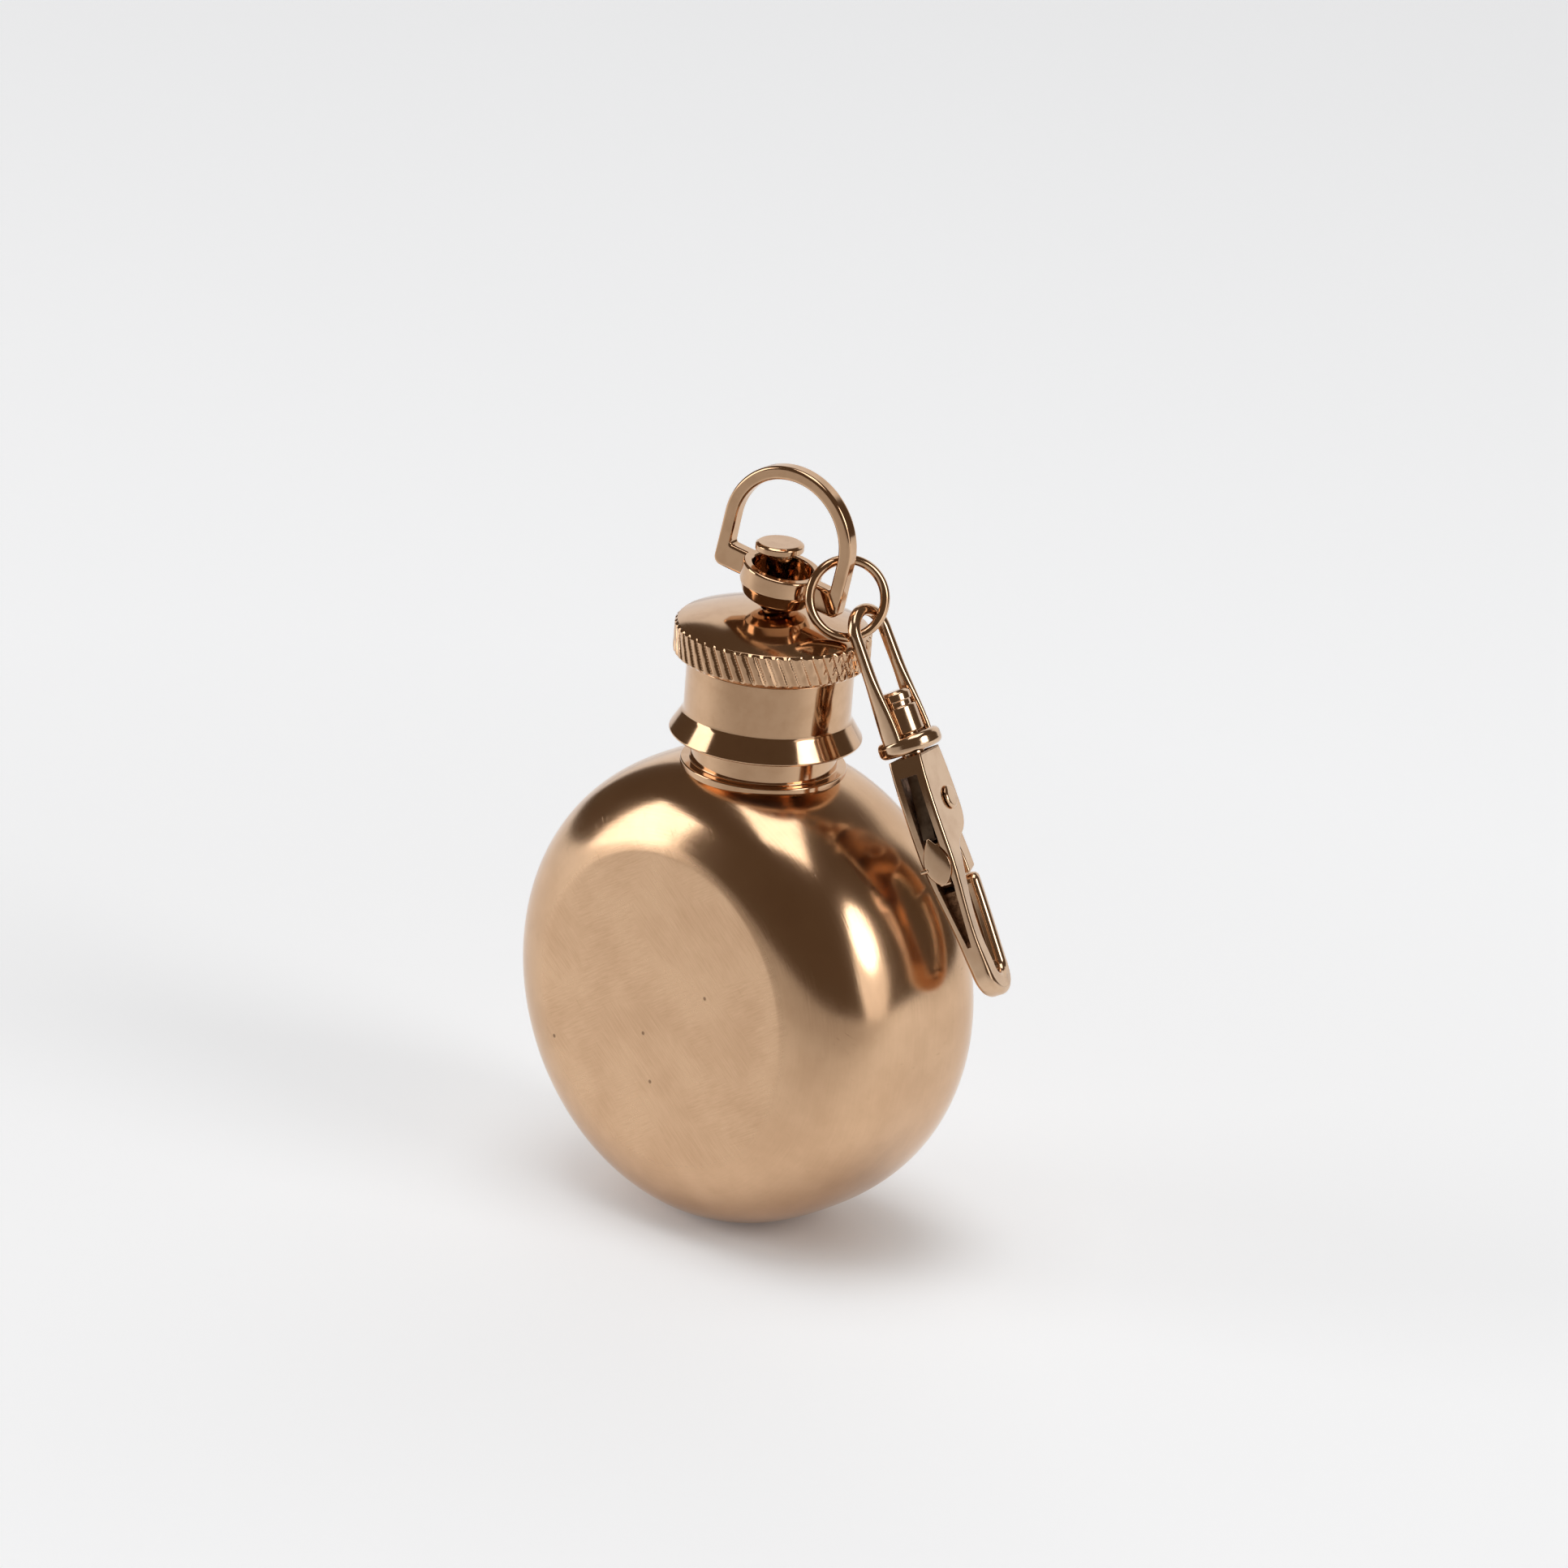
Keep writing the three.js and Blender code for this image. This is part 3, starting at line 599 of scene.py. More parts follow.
@dataclass(frozen=True)
class BrushedPlate(Finish):
    """Plate over the pressed body: brushed round the rim, hand rubbed on the flat faces."""

    colour: Colour = (0.715, 0.470, 0.290, 1.0)
    tone: Colour = (0.600, 0.375, 0.222, 1.0)
    pit: Colour = (0.20, 0.115, 0.065, 1.0)
    middle: float = 22.045
    face: tuple[float, float] = (11.5, 11.8)
    rough: float = 0.165
    face_rough: float = 0.13
    spread: float = 0.10
    rubbing: tuple[float, float] = (38.0, -33.0)
    scratching: float = 44.0
    stroke: float = 0.13
    pit_scale: float = 0.17
    pit_size: tuple[float, float] = (0.018, 0.042)
    relief: float = 0.3
    depth: float = 0.016

    def draw(self, graph: Graph) -> None:
        """Brushing follows the angle round the body on the rim, and straight strokes in patches on the faces.

        Long scratches cross it in places, and a few small pits lie on the faces.
        """
        at = graph.place()
        x, y, z = graph.sides(at)
        up = z - self.middle
        radius = (x * x + up * up) ** 0.5
        hoop = graph.noise(graph.vector(x.bearing(up) * 5.0, y * 9.0, radius * 9.0), 1.0, 3.0, 0.6)
        face = abs(y).between(*self.face)
        patch = graph.noise(at, 0.11, 1.0, 0.5).between(0.44, 0.56)
        first = graph.strokes(at, self.rubbing[0], 2.4, self.stroke)
        second = graph.strokes(at, self.rubbing[1], 2.0, self.stroke)
        brush = hoop * (1 - face) + (first * patch + second * (1 - patch)) * face
        grain = graph.noise(at, 3.2, 2.0, 0.6)
        cloud = graph.noise(at, 0.20, 4.0, 0.55)
        cells = graph.node(
            "ShaderNodeTexVoronoi",
            {"voronoi_dimensions": "2D"},
            {"Vector": graph.vector(x, z, 0.0), "Scale": self.pit_scale, "Randomness": 1.0},
        )
        chance = graph.sides(cells.output("Color"))[0].between(0.62, 0.66)
        pits = (1 - cells.between(*self.pit_size)) * chance * face
        places = graph.noise(at, 0.16).between(0.5, 0.6)
        scratch = graph.strokes(at, self.scratching, 3.2, 0.11).between(0.66, 0.73) * places
        worn = cloud.between(0.3, 0.7) * 0.6 + (brush - 0.5) * (0.5 + face * 1.3) + scratch * 0.8
        colour = graph.mix(pits * 0.8, graph.mix(worn, self.colour, self.tone), self.pit)
        rough = self.rough + face * self.face_rough + (brush + cloud + scratch - 1.0) * self.spread
        height = brush * 0.7 + grain * 0.35 - scratch * 0.5 - pits * 1.2
        graph.metal(colour, rough, graph.bump(height, self.relief, self.depth))


@dataclass(frozen=True)
class PolishedPlate(Finish):
    """Buffed plate on the turned, bent and cast pieces."""

    colour: Colour = (0.66, 0.430, 0.265, 1.0)
    tone: Colour = (0.56, 0.345, 0.20, 1.0)
    rough: float = 0.10
    spread: float = 0.08
    relief: float = 0.10
    depth: float = 0.008
    turning: bool = False

    def draw(self, graph: Graph) -> None:
        """Fine turning lines at a radius and height from Z, or short buffing strokes, over a soft clouding."""
        at = graph.place()
        x, y, z = graph.sides(at)
        cloud = graph.noise(at, 0.45, 4.0, 0.6)
        grain = graph.noise(at, 5.0, 2.0, 0.6)
        if self.turning:
            radius = (x * x + y * y) ** 0.5
            lines = graph.noise(graph.vector(radius * 7.0, y.bearing(x) * 0.6, z * 7.0), 1.0, 2.0, 0.6)
        else:
            lines = graph.strokes(at, 60.0, 1.6, 0.10)
        colour = graph.mix(cloud.between(0.38, 0.72) * 0.6, self.colour, self.tone)
        rough = self.rough + (cloud - 0.4) * self.spread + (lines - 0.5) * self.spread * 0.5
        graph.metal(colour, rough, graph.bump(lines * 0.6 + grain * 0.4, self.relief, self.depth))


@dataclass(frozen=True)
class CastPlateWithPaintedShade(Finish):
    """Plate over the unbuffed casting skin in the channel of the hook, its colour darkened as painted shade of the
    channel.
    """

    # Both colours are darker than the clasp's plate: painted shade of the channel, over the real rough casting
    # skin.
    colour: Colour = (0.46, 0.27, 0.155, 1.0)
    tone: Colour = (0.24, 0.13, 0.07, 1.0)
    rough: float = 0.50

    def draw(self, graph: Graph) -> None:
        """Pebbled relief from one noise, darker and rougher in its hollows."""
        at = graph.place()
        pebble = graph.noise(at, 2.2, 4.0, 0.65)
        colour = graph.mix(pebble.between(0.4, 0.62), self.tone, self.colour)
        graph.metal(colour, self.rough - (pebble - 0.5) * 0.5, graph.bump(pebble, 0.5, 0.06))


@dataclass(frozen=True)
class PlainSteel(Finish):
    """Unplated sheet steel of the washer and the leaf spring."""

    colour: Colour = (0.56, 0.55, 0.53, 1.0)
    tone: Colour = (0.40, 0.39, 0.37, 1.0)
    rough: float = 0.34

    def draw(self, graph: Graph) -> None:
        """Rolling marks drawn out along z, with soft clouding."""
        at = graph.place()
        lines = graph.strokes(at, 90.0, 1.5, 0.08)
        cloud = graph.noise(at, 0.8, 3.0, 0.6)
        colour = graph.mix(cloud.between(0.35, 0.7), self.colour, self.tone)
        graph.metal(colour, self.rough + (lines - 0.5) * 0.2, graph.bump(lines, 0.15, 0.01))


@dataclass(frozen=True)
class SoftLiner(Finish):
    """Soft white sealing disc."""

    colour: Colour = (0.78, 0.76, 0.71, 1.0)
    tone: Colour = (0.68, 0.66, 0.60, 1.0)

    def draw(self, graph: Graph) -> None:
        """Faint clouding with a fine moulded grain."""
        at = graph.place()
        cloud = graph.noise(at, 0.6, 3.0, 0.6)
        grain = graph.noise(at, 6.0, 2.0, 0.5)
        colour = graph.mix(cloud.between(0.3, 0.7), self.colour, self.tone)
        values = {"Base Color": colour, "Roughness": 0.55 + (grain - 0.5) * 0.2}
        graph.shade({**values, "Normal": graph.bump(grain, 0.2, 0.02)})


@dataclass(frozen=True)
class PaleFloor(Finish):
    """Matt white sweep of paper under the object."""

    colour: Colour = (0.86, 0.86, 0.86, 1.0)
    tone: Colour = (0.84, 0.84, 0.84, 1.0)
    lift: Colour = (0.375, 0.40, 0.425, 1.0)
    toward: tuple[float, float] = (0.5, -0.866)
    front: float = 130.0
    # Middle, stretch and reach of the painted shadow: the lift is least at the middle and grows outwards from it.
    painted_shadow_middle: tuple[float, float] = (5.0, 1.5)
    stretch: float = 1.7
    painted_shadow_reach: tuple[float, float] = (3.0, 26.0)
    distance: tuple[float, float] = (60.0, 400.0)
    shares: tuple[float, float, float] = (0.11, 0.82, 0.27)

    def draw(self, graph: Graph) -> None:
        """Almost even white, lifted to the paper's white where the camera or the plate sees it.

        The lift is least about a middle beside the foot and grows outwards from it, which paints a shadow round
        the foot over the cast one, and grows once more far off; in the plate it fades where the paper ends in
        front of the camera.
        """
        at = graph.place()
        x, y, _ = graph.sides(at)
        cloud = graph.noise(at, 0.01, 2.0, 0.5)
        # Distance from the painted shadow's middle, where the lift is least.
        from_x, from_y = x - self.painted_shadow_middle[0], y - self.painted_shadow_middle[1]
        away = (from_x * from_x + from_y * from_y * self.stretch) ** 0.5
        ahead = x * self.toward[0] + y * self.toward[1]
        ray = graph.node("ShaderNodeLightPath", output="Is Camera Ray")
        seen = ray + ray.output("Is Glossy Ray") * (1 - ahead.between(0.0, self.front))
        least, near, far = self.shares
        share = seen * (least + away.between(*self.painted_shadow_reach) * near + away.between(*self.distance) * far)
        lift = graph.mix(share, (0.0, 0.0, 0.0, 1.0), self.lift)
        values = {"Base Color": graph.mix(cloud, self.colour, self.tone), "Roughness": 0.85}
        graph.shade({**values, "Emission Color": lift, "Emission Strength": 1.0})


BRUSHED = BrushedPlate("brushed_plate_finish")
TURNED = PolishedPlate("turned_plate_finish", turning=True)
BUFFED = PolishedPlate("buffed_plate_finish", rough=0.09)
CLASP = PolishedPlate(
    "clasp_plate_finish", (0.70, 0.49, 0.325, 1.0), (0.59, 0.38, 0.235, 1.0), rough=0.13, spread=0.12, relief=0.2
)
CAST_WITH_PAINTED_SHADE = CastPlateWithPaintedShade("cast_plate_finish")
STEEL = PlainSteel("plain_steel_finish")
SPRING = PlainSteel("spring_steel_finish", (0.24, 0.18, 0.13, 1.0), (0.13, 0.09, 0.06, 1.0))
LINER = SoftLiner("soft_liner_finish")
FLOOR = PaleFloor("pale_floor_finish")


@dataclass
class Body:
    """The two pressed halves of the flask."""

    diameter: float = 45.0
    depth: float = 23.7
    face: float = 29.5
    side_fullness: float = 2.7
    corner_fullness: float = 4.8
    wall: float = 0.8
    foot: float = 9.0
    foot_crease: float = 260.0
    crisp: float = 0.16
    soft: float = 0.8
    crisp_at: float = 25.0
    crisp_span: tuple[float, float] = (-0.35, 0.7)
    neck_hole: float = 11.4
    segments: int = 240
    outer_rows: int = 110
    inner_rows: int = 26

    @property
    def radius(self) -> float:
        """Returns the radius of the rim."""
        return self.diameter / 2

    @property
    def centre(self) -> float:
        """Returns the height of the middle over the foot."""
        return math.sqrt(self.radius**2 - (self.foot / 2) ** 2)

    @property
    def top(self) -> float:
        """Returns the height of the rim's top."""
        return self.centre + self.radius

    def rim(self, y: Array) -> Array:
        """Radius at a distance from the middle plane: R (1 - (y / reach)^a)^(1 / b), a superellipse.

        Args:
            y: Distances from the middle plane.

        Returns:
            The radii.
        """
        share = (self.face / self.diameter) ** self.corner_fullness
        reach = self.depth / 2 / (1 - share) ** (1 / self.side_fullness)
        return self.radius * (1 - (np.abs(y) / reach) ** self.side_fullness) ** (1 / self.corner_fullness)

    def saddle(self, x: Array, y: Array) -> Array:
        """Returns the height of the rim's top over a point: centre + sqrt(rim(y)^2 - x^2)."""
        return self.centre + np.sqrt(self.rim(y) ** 2 - x**2)

    def profile(self, inset: float, count: int) -> Array:
        """Radius and depth from the seam to the middle of the face, once crisp and once soft at the crease.

        Both curves are read at the same steps, closer where the crisp one turns.

        Args:
            inset: Distance inwards from the outside.
            count: Number of points.

        Returns:
            The crisp and the soft points, two by count by two.
        """
        curves = [self.eased(width) for width in (self.crisp, self.soft)]
        ahead = curves[0][1]
        turning = np.abs(np.gradient(np.unwrap(np.arctan2(ahead[:, 1], ahead[:, 0]))))
        dense = np.cumsum(turning / turning.sum() * 0.65 + 0.35 / len(turning))
        pick = np.interp(np.linspace(dense[0], dense[-1], count), dense, np.arange(len(dense)))
        kept = []
        for path, onward in curves:
            wall = path + inset * np.column_stack([-onward[:, 1], onward[:, 0]])
            wall[0, 1], wall[-1, 0] = 0.0, 0.0
            kept.append(np.column_stack([np.interp(pick, np.arange(len(wall)), column) for column in wall.T]))
        return np.stack(kept)

    def eased(self, crease: float) -> tuple[Array, Array]:
        """The outside from the seam to the middle of the face, averaged over the width of the crease.

        The curve is padded with its mirror images at both ends, and the average is weighted by a bell.

        Args:
            crease: Width of the bell.

        Returns:
            The points and their directions, two columns each.
        """
        y = self.depth / 2 * np.sin(np.linspace(0.0, math.pi / 2, 400))
        edge = np.column_stack([self.rim(y), y])
        path = even(np.vstack([edge, [[0.0, self.depth / 2]]]), 1600)
        spread = np.linspace(-3.0, 3.0, 121)
        step = np.linalg.norm(path[1] - path[0])
        bell = np.exp(-((spread / 2) ** 2) * 2)
        reach = max(int(3 * crease / step), 1)
        bell = np.interp(np.arange(-reach, reach + 1), np.linspace(-reach, reach, len(bell)), bell)
        bell = bell / bell.sum()
        before = path[reach:0:-1] * [1.0, -1.0]
        after = path[-2 : -reach - 2 : -1] * [-1.0, 1.0]
        padded = np.vstack([before, path, after])
        soft = np.column_stack([np.convolve(column, bell, "valid") for column in padded.T])
        ahead = units(np.gradient(soft, axis=0))
        ahead[0], ahead[-1] = (0.0, 1.0), (-1.0, 0.0)
        return soft, ahead

    def dish(self, inset: float, count: int, side: int) -> Array:
        """One wall of a half: the profile round Y, its radius held above the flat foot.

        The crease is crisp at the top and grows soft towards the foot. The radius is r (1 + q)^(-1 / p),
        where q = (r / limit)^p and the limit is where the plane of the foot cuts that direction, so the two
        blend within a fraction of a millimetre.

        Args:
            inset: Distance inwards from the outside.
            count: Rows from the seam to the middle of the face.
            side: -1 for the front half, 1 for the rear.

        Returns:
            A grid of rows by columns by three.
        """
        angle = circle(self.segments)
        crisp, soft = self.profile(inset, count)[:, :, None, :]
        share = smooth(np.cos(angle - math.radians(self.crisp_at)), *self.crisp_span)[:, None]
        radius, depth = np.moveaxis(soft + (crisp - soft) * share, -1, 0)
        down = np.maximum(-np.cos(angle), 1e-6)
        power = self.foot_crease
        limit = (self.centre - inset) / down
        held = radius * (1 + np.minimum(radius / limit, 1.2) ** power) ** (-1 / power)
        flat = np.minimum(held, limit)
        x, z = flat * np.sin(angle), self.centre + flat * np.cos(angle)
        return np.stack([x, side * depth + 0 * angle, z], axis=-1)

    def half(self, side: int) -> Form:
        """Returns one half: outer wall to the middle of the face and inner wall back to the seam."""
        walls = [self.dish(0.0, self.outer_rows, side), self.dish(self.wall, self.inner_rows, side)[::-1]]
        return Form.of_grid(np.concatenate(walls), wrap_rows=True)

    def build(self) -> None:
        """Makes both halves with the hole for the neck."""
        hole = plug(self.neck_hole / 2, self.top - 8.5, self.top + 5.5, 96)
        for side, name, node in ((-1, "front_half", "front_shell"), (1, "rear_half", "rear_shell")):
            half = self.half(side).piece(name, 28.0).combine(hole, Cut.TAKE_OFF)
            half.dress(BRUSHED, Slot.BRUSHED, "flask", node)


@dataclass
class Neck:
    """The turned spout with its bead on the rim."""

    body: Body
    bore: float = 9.2
    spout: float = 11.8
    neck: float = 13.6
    root: float = 15.4
    spigot: float = 11.2
    spigot_depth: float = 2.2
    shoulder_rise: float = 1.45
    root_height: float = 2.2
    bead: float = 0.8
    bead_bend: float = 0.33
    sink: float = 0.06
    spout_top: float = 53.4954
    pitch: float = 1.5
    turns: float = 3.6
    thread_low: float = 47.2
    thread_height: float = 0.2
    thread_root: float = 0.12
    thread_half: float = 0.42

    @property
    def shoulder(self) -> float:
        """Returns the level of the shoulder."""
        return self.body.top + self.shoulder_rise

    def form(self) -> Form:
        """The turned profile, its foot drawn down to the curve of the rim.

        Below the bead a point's height z becomes bend - (bend - z) k, where k takes the flat foot of the
        profile to the saddle of the body.

        Returns:
            The closed surface.
        """
        top = self.shoulder - self.root_height
        base, bend = top - self.bead, top - self.bead_bend
        low = self.body.top - self.spigot_depth
        profile = rounded(
            [
                (self.bore / 2, low, 0.1),
                (self.spigot / 2, low, 0.1),
                (self.spigot / 2, base, 0),
                (self.root / 2 - 0.3, base, 0),
                (self.root / 2, base, 0),
                (self.root / 2, bend, 0),
                (self.root / 2, top, 0.3),
                (self.neck / 2, top, 0.12),
                (self.neck / 2, self.shoulder, 0.1),
                (self.spout / 2, self.shoulder, 0.1),
                (self.spout / 2, self.spout_top - 0.5, 0.2),
                (self.bore / 2 + 0.8, self.spout_top, 0.15),
                (self.bore / 2, self.spout_top, 0.15),
            ],
            True,
        )
        grid = turned_grid(profile, 160)
        x, y, z = np.moveaxis(grid, -1, 0)
        outside = (np.hypot(x, y) > self.spigot / 2 - 0.01) & (z < bend) & (z > base - 0.01)
        seat = self.body.saddle(x, y) - self.sink
        grid[..., 2] = np.where(outside, bend - (bend - z) * (bend - seat) / (bend - base), z)
        return Form.of_grid(grid, wrap_rows=True)

    def thread(self) -> Form:
        """A ridge on a helix: radius and height grow by a half ellipse that fades in and out at its ends.

        Returns:
            The closed surface.
        """
        turn = np.linspace(0.0, 2 * math.pi * self.turns, int(72 * self.turns))[:, None]
        fade = np.sqrt(smooth(turn, 0.0, 0.9) * smooth(turn[-1] - turn, 0.0, 0.9)) * 0.98 + 0.02
        section = circle(14)
        rise = (self.thread_height + self.thread_root) * np.maximum(np.sin(section), -0.3)
        out = self.spout / 2 + (rise - self.thread_root) * fade
        high = self.thread_low + self.pitch * turn / (2 * math.pi) + self.thread_half * fade * np.cos(section)
        grid = np.stack([out * np.cos(turn), out * np.sin(turn), high], axis=-1)
        return Form.of_fans(grid)

    def build(self) -> None:
        """Makes the neck and the thread of its spout."""
        self.form().piece("neck_turned").dress(TURNED, Slot.POLISHED, "flask", "neck")
        self.thread().piece("spout_thread").dress(TURNED, Slot.POLISHED, "flask")


@dataclass
class Cap:
    """The knurled cap with its rivet, washer and liner."""

    bottom: float = 46.2954
    height: float = 10.8
    rise: float = 1.7
    knurl: float = 18.2
    knurl_height: float = 3.0
    chamfer: float = 0.25
    groove_depth: float = 0.4
    groove_height: float = 0.5
    barrel: float = 15.5
    lip: float = 18.0
    lip_height: float = 0.25
    lip_bevel: float = 2.05
    skirt: float = 17.0
    bore: float = 12.5
    hole: float = 2.6
    recess: float = 6.0
    recess_depth: float = 1.2
    crown: float = 1.2
    teeth: int = 52
    tooth_depth: float = 0.22
    tooth_lean: float = 24.0
    tooth_share: float = 0.6
    cross_least: float = 0.12
    cross_gain: float = 0.75
    cross_at: float = 0.5
    rivet_top: float = 65.0954
    rivet_tail: float = 1.8
    rivet_stem: float = 1.1
    rivet_head: float = 2.25

    @property
    def top(self) -> float:
        """Returns the level of the crown's edge."""
        return self.bottom + self.height

    def bite(self, angle: Array, z: Array) -> Array:
        """Depth of the knurl: the deeper of two families of V grooves that lean either way round the rim.

        A family's phase is the tooth count at that angle plus the lean times the height; the depth falls
        off in a straight line from the middle of each groove to the flat land beside it. The second
        family fades round the rim.

        Args:
            angle: Angle round the cap.
            z: Height.

        Returns:
            The depth at each point.
        """
        width = math.pi * self.knurl / self.teeth
        lean = math.tan(math.radians(self.tooth_lean)) * (z - self.top) / width
        count = self.teeth * angle / (2 * math.pi)
        second = self.cross_least + self.cross_gain * smooth(np.cos(angle - self.cross_at), 0.6, 0.95)
        groove = [1 - np.abs(2 * ((count + sign * lean) % 1.0) - 1) / self.tooth_share for sign in (1, -1)]
        return self.tooth_depth * np.maximum(np.maximum(groove[0], second * groove[1]), 0.0)

    def form(self) -> Form:
        """The turned profile, with the radius of the rim held under the knurl.

        The crown is a dome: z = top + rise - R + sqrt(R^2 - r^2), where R = (edge^2 + rise^2) / (2 rise).

        Returns:
            The closed surface.
        """
        half, barrel = self.knurl / 2, self.barrel / 2
        edge = half - self.chamfer
        dome = (edge**2 + self.rise**2) / (2 * self.rise)
        reach = np.linspace(self.hole / 2, edge, 18)
        crown = self.top + self.rise - dome + np.sqrt(dome**2 - reach**2)
        low, under = self.top - self.knurl_height, barrel - self.groove_depth
        ceiling = self.top - self.crown - self.recess_depth
        band = np.linspace(self.top - self.chamfer, low + self.chamfer, 30)[1:-1]
        lip = self.bottom + self.lip_height
        corners = [
            (self.hole / 2, float(crown[0]), 0.08),
            *[(float(r), float(z), 0) for r, z in zip(reach[1:-1], crown[1:-1])],
            (edge, self.top, 0.06),
            (half, self.top - self.chamfer, 0.06),
            *[(half, float(z), 0) for z in band],
            (half, low + self.chamfer, 0.06),
            (half - self.chamfer, low, 0.06),
            (under, low, 0.05),
            (under, low - self.groove_height / 2, 0.08),
            (barrel, low - self.groove_height, 0.14),
            (barrel, lip + self.lip_bevel, 0.9),
            (self.lip / 2, lip, 0.16),
            (self.skirt / 2, self.bottom, 0.2),
            (self.bore / 2, self.bottom, 0.12),
            (self.bore / 2, ceiling, 0.1),
            (self.recess / 2, ceiling, 0.05),
            (self.recess / 2, ceiling + self.recess_depth, 0.05),
            (self.hole / 2, ceiling + self.recess_depth, 0.05),
        ]
        profile = rounded(corners, True, 4)
        grid = turned_grid(profile, self.teeth * 10)
        x, y, z = np.moveaxis(grid, -1, 0)
        radius, angle = np.hypot(x, y), np.arctan2(y, x)
        rim = (radius > half - 0.6) & (z > low - 0.02)
        held = np.where(rim, np.minimum(radius, half - self.bite(angle, z)), radius)
        grid[..., :2] *= (held / radius)[..., None]
        return Form.of_grid(grid, wrap_rows=True)

    def rivet(self) -> Form:
        """Returns the rivet: peened tail, stem, conical neck and thick flat head."""
        top, tail, seat = self.rivet_top, self.top - 2.3, self.top - 1.9
        corners = [
            (0, tail, 0),
            (self.rivet_tail * 0.8, tail, 0.1),
            (self.rivet_tail, seat - 0.2, 0.1),
            (self.rivet_tail, seat, 0.05),
            (self.rivet_stem, seat, 0.03),
            (self.rivet_stem, top - 2.6, 0.4),
            (1.28, top - 0.95, 0.2),
            (1.45, top - 0.75, 0.08),
            (self.rivet_head, top - 0.75, 0.1),
            (self.rivet_head, top - 0.18, 0.16),
            (self.rivet_head - 0.3, top, 0.3),
            (0, top, 0),
        ]
        return turned(corners, 96)

    def build(self, nodes: dict) -> None:
        """Makes the cap and its rivet, and finishes the washer and the liner.

        Args:
            nodes: The frame's nodes by name.
        """
        self.form().piece("cap_turned", 38.0).dress(TURNED, Slot.POLISHED, "screw_cap", "cap")
        self.rivet().piece("rivet_turned").dress(BUFFED, Slot.POLISHED, "rivet", "swivel_rivet")
        refinish(nodes["rivet_washer"], STEEL)
        refinish(nodes["cap_liner"], LINER)


@dataclass
class Bail:
    """The D-shaped loop with its cup, loose on the rivet."""

    level: float = 59.872
    yaw: float = 9.7
    tilt: float = 9.6
    width: float = 13.8
    height: float = 12.19
    strip: float = 1.3
    depth: float = 1.5
    crossbar: float = 2.4
    low: float = 0.65
    edge: float = 0.32
    corner: float = 0.75
    inner_corner: float = 0.35
    cup: float = 7.4
    cup_bore: float = 5.7
    cup_foot: float = 4.6
    cup_hole: float = 3.2
    cup_low: float = -0.5
    cup_floor: float = 0.5
    cup_bevel: float = 0.35

    @property
    def place(self) -> Array:
        """Returns the place of the loop's own frame."""
        return spin(Axis.Z, self.yaw) @ shift(z=self.level) @ spin(Axis.Y, self.tilt)

    def loop(self) -> Form:
        """The strip of the D: crossbar, corner, leg and half circle, each station square to the strip.

        Returns:
            The closed surface in the loop's own x-z plane.
        """
        half, inside = self.width / 2, self.width / 2 - self.strip
        rim, shoulder = self.low + self.crossbar, self.low + self.height - self.width / 2
        bow = np.radians(np.linspace(0.0, 90.0, 9))
        quarter = np.column_stack([np.sin(bow), -np.cos(bow)])
        arc = np.radians(np.linspace(0.0, 90.0, 40))
        crown = np.column_stack([np.cos(arc), np.sin(arc)])

        def side(reach: float, base: float, fillet: float) -> Array:
            """Returns the right half of one edge, from the crossbar's middle to the top."""
            bar = np.column_stack([np.linspace(0.0, reach - fillet, 14)[:-1], np.full(13, base)])
            turn = np.array([reach - fillet, base + fillet]) + fillet * quarter
            leg = np.column_stack([np.full(10, reach), np.linspace(base + fillet, shoulder, 12)[1:-1]])
            return np.vstack([bar, turn, leg, np.array([0.0, shoulder]) + reach * crown])

        edges = []
        for right in (side(half, self.low, self.corner), side(inside, rim, self.inner_corner)):
            edges.append(np.vstack([right, (right * [-1.0, 1.0])[-2:0:-1]]))
        return strip(edges[0], edges[1], self.depth, self.edge, True).placed(spin(Axis.Z, -90.0))

    def build(self) -> None:
        """Makes the loop and joins its hollow cup to it."""
        rim, foot, floor = self.low + self.crossbar, self.cup_low, self.cup_floor
        radius, bore = self.cup / 2, self.cup_bore / 2
        bowl = [
            (0, foot, 0),
            (self.cup_foot / 2, foot, 0.3),
            (radius * 0.85, foot + 0.5175, 0.5),
            (radius, self.low + 0.6, 0.9),
            (radius, rim, 0.22),
            (0, rim, 0),
        ]
        cavity = [
            (0, floor, 0),
            (self.cup_foot / 2, floor, 0.4),
            (bore, self.low, 0.8),
            (bore, rim - 0.12, 0.1),
            (bore + self.cup_bevel, rim + 0.3, 0.1),
            (0, rim + 0.3, 0),
        ]
        hole = plug(self.cup_hole / 2, -1.0, 1.0, 72)
        piece = self.loop().placed(self.place).piece("bail_bent")
        piece.combine(turned(bowl, 96).placed(self.place), Cut.JOIN)
        for hollow in (turned(cavity, 96), hole):
            piece.combine(hollow.placed(self.place), Cut.TAKE_OFF)
        piece.dress(BUFFED, Slot.POLISHED, "bail_loop", "bail")


